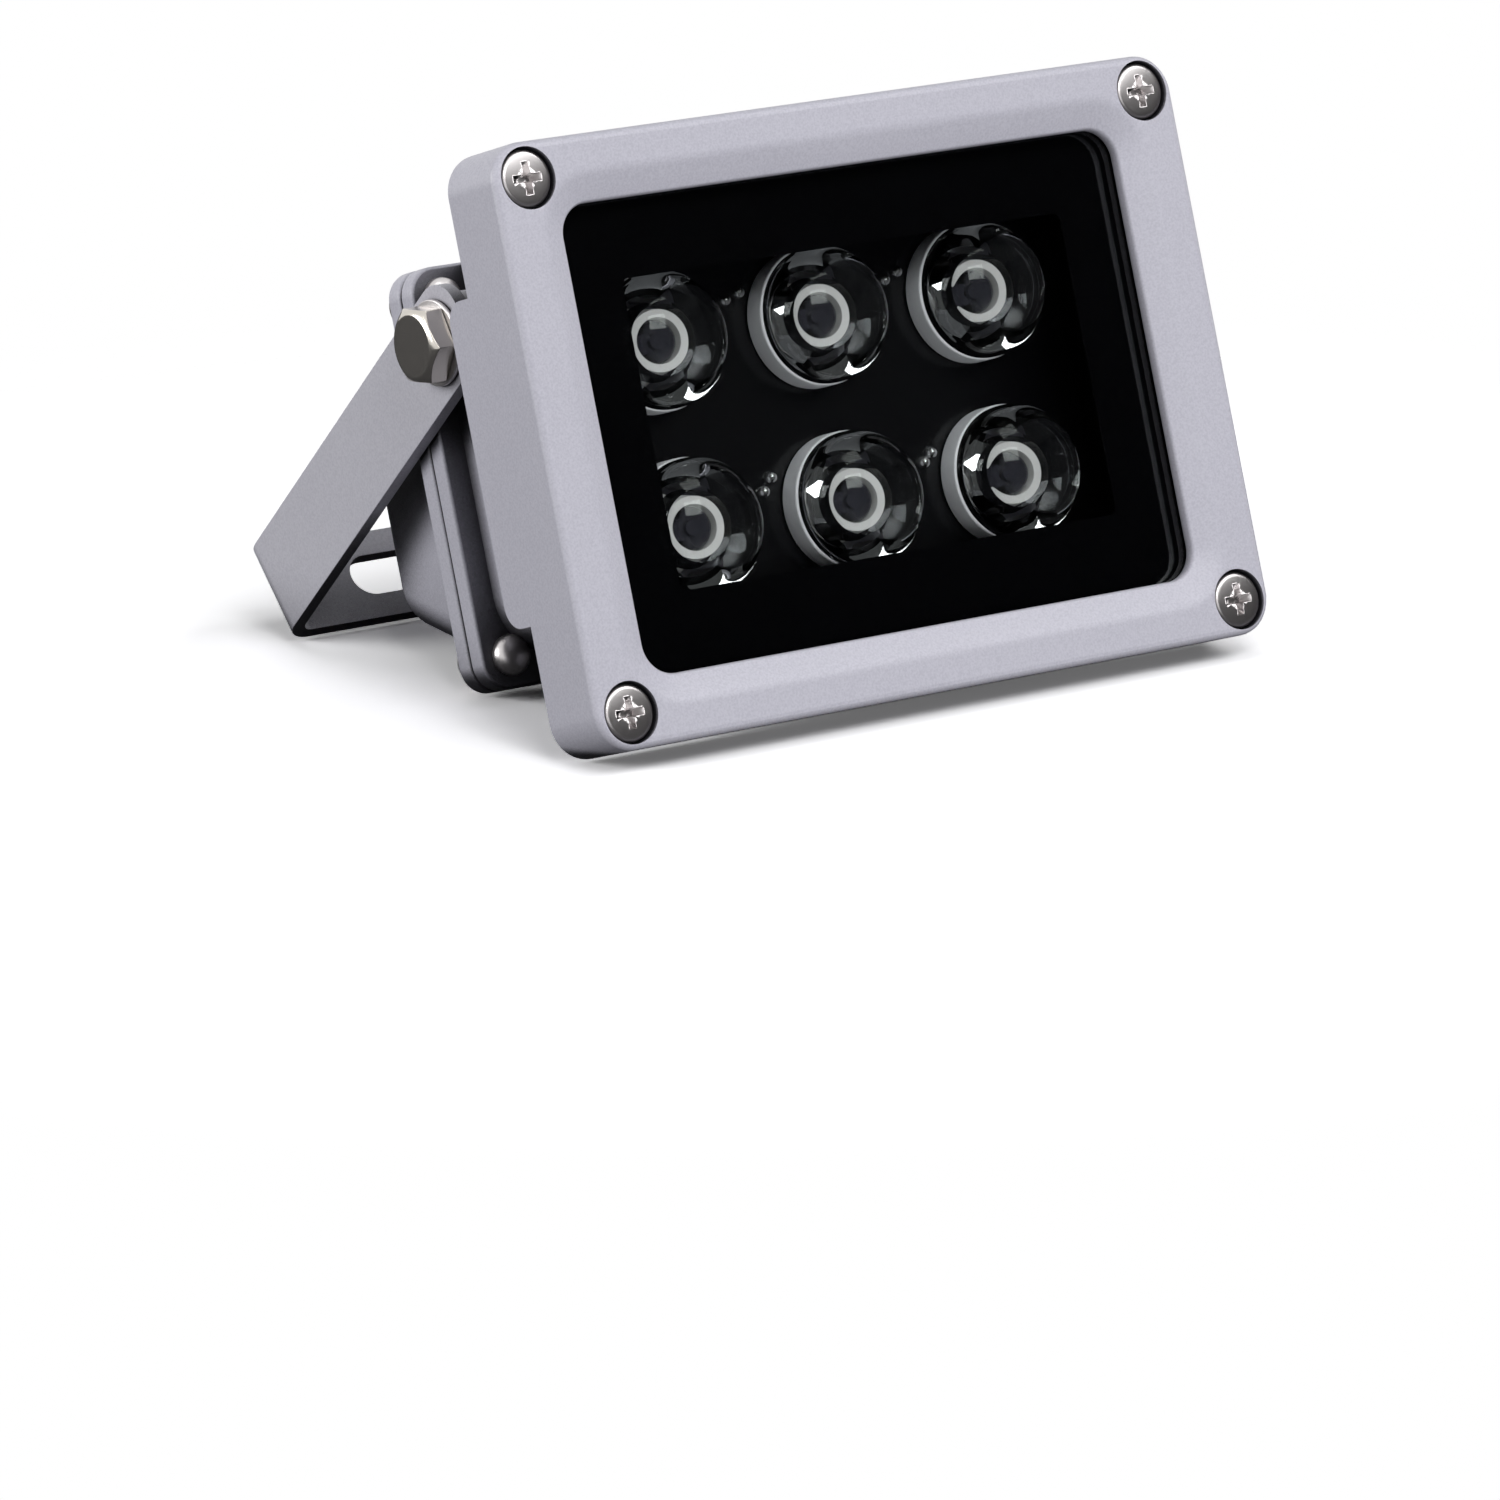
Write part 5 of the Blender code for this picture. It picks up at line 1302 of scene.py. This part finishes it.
def build_cover():
    """The flange and the box, then the room, the screw channels, the groove and the inlet."""
    obj = build_flange("rear_housing", COVER_FRONT, COVER_SEAT)
    start = COVER_FRONT + OVER
    rings = [(*COVER_BASE, COVER_CORNER, start)]
    for step in range(7):
        angle = math.pi / 2 * step / 6
        depth = COVER_BACK - COVER_EDGE * (1 - math.sin(angle))
        share = (depth - COVER_SEAT) / (COVER_BACK - COVER_SEAT)
        inset = COVER_EDGE * (1 - math.cos(angle))
        width, height = (a + (b - a) * share - 2 * inset for a, b in zip(COVER_BASE, COVER_END))
        rings.append((width, height, COVER_CORNER - inset, depth))
    fuse(obj, loft("box", rings))
    room = [(*BAY, BAY_CORNER, COVER_FRONT - OVER), (*BAY_END, BAY_CORNER, COVER_BACK - COVER_WALL)]
    cut(obj, loft("room", room))
    for centre in four_corners(REAR_SCREW_X, REAR_SCREW_Z):
        cut(obj, bar("channel", CHANNEL_RADIUS, COVER_SEAT, COVER_BACK + OVER, centre))
        cut(obj, bar("hole", SCREW_HOLE_RADIUS, COVER_FRONT - OVER, COVER_SEAT + OVER, centre))
    outer = (BAY[0] + 2 * SEAL_OUT, BAY[1] + 2 * SEAL_OUT, BAY_CORNER + SEAL_OUT)
    inner = (BAY[0] + 2 * SEAL_IN, BAY[1] + 2 * SEAL_IN, BAY_CORNER + SEAL_IN)
    cut(obj, tube("groove", outer, inner, COVER_FRONT - OVER, COVER_FRONT + SEAL_DEPTH))
    entry = bar("entry", GLAND_ENTRY, COVER_BACK - 2 * COVER_WALL, COVER_BACK + OVER, GLAND_AT)
    return soften(outward(cut(obj, entry)), RIM_EDGE, segments=2, angle=50)


cover = build_cover()
settle(cover, body_coat, "painted_casting", "rear_cover")
print("cover:", len(cover.data.polygons), "faces")

# %% [markdown]
# ## The housing
#
# The main casting is put together from lumps, as its mould would be: a collar behind the bezel, a
# bowl for the board, a waist with cooling fins over and under it, the rear flange, and a bar across
# for the pivot bosses. Then the bowl and the driver's bay are cut out of it. A matt black lining
# covers the bowl's wall, so that the bowl shows black through the window.

# %% Housing
COLLAR = (110.0 * MM, 78.0 * MM, 3.3 * MM)
COLLAR_FRONT = 8.3 * MM
COLLAR_BACK = 12.3 * MM
COLLAR_EDGE = 0.4 * MM
BOWL = (90.3 * MM, 61.8 * MM, 3.0 * MM)
BOWL_WALL = 2.6 * MM
BOWL_FLOOR = 20.1 * MM
BOWL_BACK = 23.3 * MM
BOWL_EDGE = 0.8 * MM
WAIST = (88.0 * MM, 52.0 * MM, 9.0 * MM)
FLANGE_FRONT = 41.0 * MM
FLANGE_BACK = 44.1 * MM
FIN_COUNT = 9
FIN_SPAN = 75.2 * MM
FIN_HALF = 0.8 * MM
FIN_INSET = 0.1 * MM
BOSS_RADIUS = 6.6 * MM
BOSS_FACE = 48.1 * MM
POST_AT = (27.0 * MM, 13.0 * MM)
POST_RADIUS = 2.6 * MM
POST_BACK = 29.3 * MM
LEAD_HOLE_RADIUS = 3.0 * MM
LINING = 0.15 * MM
LIP_GAP = 0.1 * MM


def build_fin(x, level):
    """A fin whose top runs down from the bowl to the flange."""
    bowl_half = BOWL[1] / 2 + BOWL_WALL - FIN_INSET
    flange_half = FLANGE_HEIGHT / 2 - FIN_INSET
    low, high = sorted((level * (WAIST[1] / 2 - OVER), level * bowl_half))
    fin = block("fin", (x - FIN_HALF, BOWL_BACK - OVER, low), (x + FIN_HALF, FLANGE_FRONT + OVER, high))
    edit(fin)
    pick("verts", lambda vertex: vertex.co.y > FLANGE_FRONT and abs(vertex.co.z) > flange_half)
    bpy.ops.transform.translate(value=(0, 0, level * (flange_half - bowl_half)))
    rest()
    return fin


def build_housing():
    """The lumps are joined in the order of their depths, and then the rooms and holes are cut."""
    obj = loft("main_housing", plate_rings(*COLLAR, COLLAR_EDGE, COLLAR_FRONT, COLLAR_BACK, 3))
    shell = (BOWL[0] + 2 * BOWL_WALL, BOWL[1] + 2 * BOWL_WALL, BOWL[2] + BOWL_WALL)
    rounded_back = rounded_edge(*shell, BOWL_EDGE, BOWL_BACK, -1, 4)[::-1]
    fuse(obj, loft("bowl", [(*shell, COLLAR_FRONT + OVER)] + rounded_back))
    fuse(obj, loft("waist", [(*WAIST, BOWL_FLOOR), (*WAIST, FLANGE_FRONT + OVER)]))
    fuse(obj, build_flange("flange", FLANGE_FRONT, FLANGE_BACK))
    for number in range(FIN_COUNT):
        x = (number / (FIN_COUNT - 1) - 0.5) * FIN_SPAN
        for level in (1, -1):
            fuse(obj, build_fin(x, level))
    pivot = (PIVOT_DEPTH, PIVOT_RISE)
    fuse(obj, bar("bosses", BOSS_RADIUS, -BOSS_FACE, BOSS_FACE, pivot, axis="X", sides=72))
    cut(obj, loft("room", [(*BOWL, COLLAR_FRONT - OVER), (*BOWL, BOWL_FLOOR)]))
    bay = (*BAY, BAY_CORNER)
    cut(obj, loft("room", [(*bay, BOWL_BACK), (*bay, FLANGE_BACK + OVER)]))
    for centre in four_corners(*POST_AT):
        fuse(obj, bar("post", POST_RADIUS, BOWL_BACK - OVER, POST_BACK, centre, sides=32))
    for side in (-1, 1):
        low, high = sorted((side * (BAY[0] / 2 - OVER), side * (BOSS_FACE + OVER)))
        cut(obj, bar("hole", ARM_HOLE_RADIUS, low, high, pivot, axis="X"))
    for radius, front, back, centres in (
        (SCREW_HOLE_RADIUS, COLLAR_FRONT, COLLAR_BACK, four_corners(BEZEL_SCREW_X, BEZEL_SCREW_Z)),
        (SCREW_HOLE_RADIUS, FLANGE_FRONT, FLANGE_BACK, four_corners(REAR_SCREW_X, REAR_SCREW_Z)),
        (BOARD_HOLE_RADIUS, BOWL_FLOOR, BOWL_BACK, four_corners(*BOARD_HOLE)),
        (LEAD_HOLE_RADIUS, BOWL_FLOOR, BOWL_BACK, [(0.0, 0.0)]),
    ):
        drill(obj, radius, front - OVER, back + OVER, centres, sides=32)
    return soften(outward(obj), RIM_EDGE, segments=2, angle=50)


housing = build_housing()
settle(housing, body_coat, "painted_casting", "housing")
print("housing:", len(housing.data.polygons), "faces")

# %% [markdown]
# ## Lining and gaskets
#
# The lining is a thin black skin on the bowl's wall, with a lip over the gap beside the board. Each
# gasket is a rubber ring that stays clear of what it seals by a small gap.

# %% Lining and gaskets
GASKET_WIDTH = 2.6 * MM


def build_gasket(name, size, corner, wall, front, back):
    """A rectangular ring of rubber with rounded corners."""
    inner = (size[0] - 2 * wall, size[1] - 2 * wall, corner - wall)
    return shade(tube(name, (*size, corner), inner, front, back))


wall = (BOWL[0] - LINING, BOWL[1] - LINING, BOWL[2])
inside = (BOWL[0] - 3 * LINING, BOWL[1] - 3 * LINING, BOWL[2] - LINING)
lip = (BOARD_SIZE[0] - 2 * BOARD_CORNER, BOARD_SIZE[1] - 2 * BOARD_CORNER, BOARD_CORNER)
lip_front, lip_back = BOARD_BACK + LIP_GAP, BOWL_FLOOR - LIP_GAP
rings = [(*wall, COLLAR_FRONT + GAP), (*wall, lip_back), (*lip, lip_back), (*lip, lip_front)]
rings += [(*inside, lip_front), (*inside, COLLAR_FRONT + GAP)]
settle(shade(loft("black_lining", rings, capped=False)), enamel_print, "rubber")
size = (GLASS_WIDTH, GLASS_HEIGHT)
seal_front, seal_back = GLASS_FRONT + GLASS_THICKNESS + GAP, COLLAR_FRONT - GAP
gasket = build_gasket("front_gasket", size, GLASS_CORNER, GASKET_WIDTH, seal_front, seal_back)
settle(gasket, nitrile, "rubber", "glass_gasket")
reach = SEAL_OUT - GAP
size = (BAY[0] + 2 * reach, BAY[1] + 2 * reach)
seal_wall = SEAL_OUT - SEAL_IN - 2 * GAP
seal_front, seal_back = FLANGE_BACK + GAP, COVER_FRONT + SEAL_DEPTH - GAP
gasket = build_gasket("back_gasket", size, BAY_CORNER + SEAL_OUT - GAP, seal_wall, seal_front, seal_back)
settle(gasket, nitrile, "rubber", "rear_gasket")

# %% [markdown]
# ## The cable gland
#
# A hexagon with its corners chamfered on both faces, a neck, and a cap that closes over the neck
# with a sealing bush in its mouth. The nut inside the cover holds it.

# %% Cable gland
GLAND_CORNERS = 8.66 * MM
GLAND_CHAMFER_RADIUS = 7.7 * MM
GLAND_CHAMFER = 0.5 * MM
GLAND_CLEARANCE = 0.2 * MM
GLAND_SEAT = 69.3 * MM
GLAND_BASE_BACK = 72.7 * MM
GLAND_THREAD_RADIUS = 5.9 * MM
GLAND_THREAD_FRONT = 62.9 * MM
GLAND_NECK_RADIUS = 5.3 * MM
GLAND_NECK_BACK = 76.7 * MM
GLAND_BORE = 4.6 * MM
GLAND_EDGE = 0.15 * MM
CAP_FRONT = 73.0 * MM
CAP_HEX_BACK = 77.2 * MM
CAP_BACK = 82.0 * MM
CAP_WALL_FRONT = 79.6 * MM
CAP_BORE = 5.6 * MM
CAP_MOUTH = 3.3 * MM
CAP_EDGE = 0.18 * MM
CAP_RADIUS = 7.4 * MM
CAP_CROWN = ((0.5, 3.0), (1.2, 1.2), (2.0, 0.3), (2.7, 0.0))
BUSH_RADIUS = 4.2 * MM
BUSH_BORE = 2.5 * MM
BUSH_EDGE = 0.6 * MM
NUT_FRONT = 63.9 * MM
NUT_BACK = 66.1 * MM
NUT_EDGE = 0.12 * MM


def hexagon(name, low, high):
    """A hexagon bar with a turned chamfer on both faces."""
    obj = bar(name, GLAND_CORNERS, low, high, GLAND_AT, sides=6, turn=math.pi / 2)
    wide = GLAND_CORNERS + GLAND_CLEARANCE
    profile = [(0.0, low), (GLAND_CHAMFER_RADIUS, low), (wide, low + GLAND_CHAMFER)]
    profile += [(wide, high - GLAND_CHAMFER), (GLAND_CHAMFER_RADIUS, high), (0.0, high)]
    return combine(obj, "INTERSECT", turned("chamfer", profile, GLAND_AT, steps=64))


def build_gland_body():
    obj = hexagon("gland_base", GLAND_SEAT, GLAND_BASE_BACK)
    fuse(obj, bar("thread", GLAND_THREAD_RADIUS, GLAND_THREAD_FRONT, GLAND_SEAT + OVER, GLAND_AT))
    fuse(obj, bar("neck", GLAND_NECK_RADIUS, GLAND_BASE_BACK - OVER, GLAND_NECK_BACK, GLAND_AT))
    bore = bar("bore", GLAND_BORE, GLAND_THREAD_FRONT - OVER, GLAND_NECK_BACK + OVER, GLAND_AT)
    return soften(cut(obj, bore), GLAND_EDGE, segments=2, angle=40)


def build_gland_cap():
    """A hexagon with a crown, whose points lie in from its radius and short of its back."""
    obj = hexagon("gland_nut", CAP_FRONT, CAP_HEX_BACK)
    start = CAP_FRONT + OVER
    profile = [(0.0, start), (CAP_RADIUS, start), (CAP_RADIUS, CAP_HEX_BACK)]
    profile += [(CAP_RADIUS - inset * MM, CAP_BACK - short * MM) for inset, short in CAP_CROWN]
    fuse(obj, turned("cap", profile + [(0.0, CAP_BACK)], GLAND_AT, steps=64))
    cut(obj, bar("bore", CAP_BORE, CAP_FRONT - OVER, CAP_WALL_FRONT, GLAND_AT))
    cut(obj, bar("mouth", CAP_MOUTH, CAP_FRONT, CAP_BACK + OVER, GLAND_AT))
    return soften(obj, CAP_EDGE, segments=2, angle=35)


def build_nut():
    obj = hexagon("inner_nut", NUT_FRONT, NUT_BACK)
    bore = bar("bore", GLAND_ENTRY, NUT_FRONT - OVER, NUT_BACK + OVER, GLAND_AT)
    return soften(cut(obj, bore), NUT_EDGE, segments=2, angle=40)


bush_back = CAP_WALL_FRONT - GAP
bush = [(BUSH_BORE, GLAND_SEAT), (BUSH_BORE, bush_back - BUSH_EDGE), (BUSH_BORE + BUSH_EDGE, bush_back)]
bush += [(BUSH_RADIUS, bush_back), (BUSH_RADIUS, GLAND_SEAT)]
for build, node in (
    (build_gland_body, "gland_body"),
    (build_gland_cap, "gland_cap"),
    (build_nut, "gland_locknut"),
):
    settle(build(), black_nylon, "black_plastic", node)
seal = shade(turned("sealing_bush", bush, GLAND_AT, steps=48, looped=True), COARSE)
settle(seal, nitrile, "rubber", "gland_seal")

# %% [markdown]
# ## The current driver
#
# A small board stands on posts in the bay, with a capacitor in a blue sleeve, a coil wound with
# enamelled wire and a screw terminal. None of it shows while the cover is on.

# %% Driver
DRIVER_SIZE = (62.0 * MM, 34.0 * MM)
DRIVER_DEPTHS = (29.6 * MM, 31.2 * MM)
PART_SEAT = 31.5 * MM
PART_AT = 22.0 * MM
CAN_RADIUS = 5.0 * MM
CAN_HEIGHT = 14.0 * MM
CAN_ROUND = 0.3 * MM
CAN_GROOVE = 0.5 * MM
CAN_GROOVE_AT = 1.7 * MM
CAN_LID = 0.2 * MM
COIL_RADIUS = 6.5 * MM
COIL_BORE = 3.0 * MM
COIL_HEIGHT = 6.0 * MM
COIL_TURNS = 9
WIRE_DENT = 0.3 * MM
TERMINAL_HALF = (4.0 * MM, 7.5 * MM)
TERMINAL_HEIGHT = 10.0 * MM
TERMINAL_EDGE = 0.3 * MM
TERMINAL_SCREW_AT = 3.6 * MM
TERMINAL_SCREW_RADIUS = 1.9 * MM
WELL_DEPTH = 2.5 * MM


def build_driver():
    rings = plate_rings(*DRIVER_SIZE, BOARD_CORNER, BOARD_EDGE, *DRIVER_DEPTHS, 1)
    return shade(loft("control_board", rings))


def build_can():
    """A can with a groove near its foot and a lid that is sunk a little."""
    end, groove = PART_SEAT + CAN_HEIGHT, PART_SEAT + CAN_GROOVE_AT
    waist, lid = CAN_RADIUS - CAN_GROOVE, end - CAN_LID
    profile = [(0.0, PART_SEAT), (CAN_RADIUS - CAN_ROUND, PART_SEAT), (CAN_RADIUS, PART_SEAT + CAN_ROUND)]
    profile += [(CAN_RADIUS, groove - CAN_GROOVE), (waist, groove), (CAN_RADIUS, groove + CAN_GROOVE)]
    profile += [(CAN_RADIUS, end - CAN_GROOVE), (waist, end), (waist - CAN_GROOVE, lid), (0.0, lid)]
    return shade(turned("capacitor_can", profile, (-PART_AT, 0.0), steps=48))


def build_coil():
    """A wound ring: its outside is a row of round wires."""
    top, pitch = PART_SEAT + COIL_HEIGHT, COIL_HEIGHT / COIL_TURNS
    profile = [(COIL_BORE, PART_SEAT), (COIL_BORE, top)]
    for number in range(COIL_TURNS):
        base = top - number * pitch
        profile += [(COIL_RADIUS - WIRE_DENT, base - 0.02 * pitch), (COIL_RADIUS, base - 0.5 * pitch)]
    profile.append((COIL_RADIUS - WIRE_DENT, PART_SEAT))
    return shade(turned("wound_coil", profile, (0.0, 0.0), steps=48, looped=True), math.radians(60))


def build_terminal():
    wide, tall = TERMINAL_HALF
    end = PART_SEAT + TERMINAL_HEIGHT
    obj = block("screw_terminal", (PART_AT - wide, PART_SEAT, -tall), (PART_AT + wide, end, tall))
    for level in (-1, 1):
        centre = (PART_AT, level * TERMINAL_SCREW_AT)
        drill(obj, TERMINAL_SCREW_RADIUS, end - WELL_DEPTH, end + OVER, [centre], sides=32)
    return soften(obj, TERMINAL_EDGE, segments=2, angle=40)


for build, finish, slot, node in (
    (build_driver, solder_mask, "board", "driver_board"),
    (build_can, sleeve, "component", "driver_capacitor"),
    (build_coil, copper, "component", "driver_coil"),
    (build_terminal, black_nylon, "black_plastic", "terminal_block"),
):
    settle(build(), finish, slot, node)

# %% [markdown]
# ## Finishes of the solids that stay
#
# The two leads of the emitters stay as they are. Every solid gets the finish that its slot names.

# %% Finishes of the solids that stay
FINISHES = {
    "painted_casting": cast_coat,
    "painted_strip": strip_coat,
    "steel": bright_zinc,
    "window_glass": float_glass,
    "clear_lens": acrylic,
    "holder": frosted,
    "emitter": ceramic,
    "board": solder_mask,
    "rubber": nitrile,
    "black_plastic": black_nylon,
    "component": sleeve,
}
for row in frame["record"]["subparts"]:
    node = frame["nodes"][row["node"]]
    node.data.materials.clear()
    node.data.materials.append(FINISHES[row["material_slot"]])
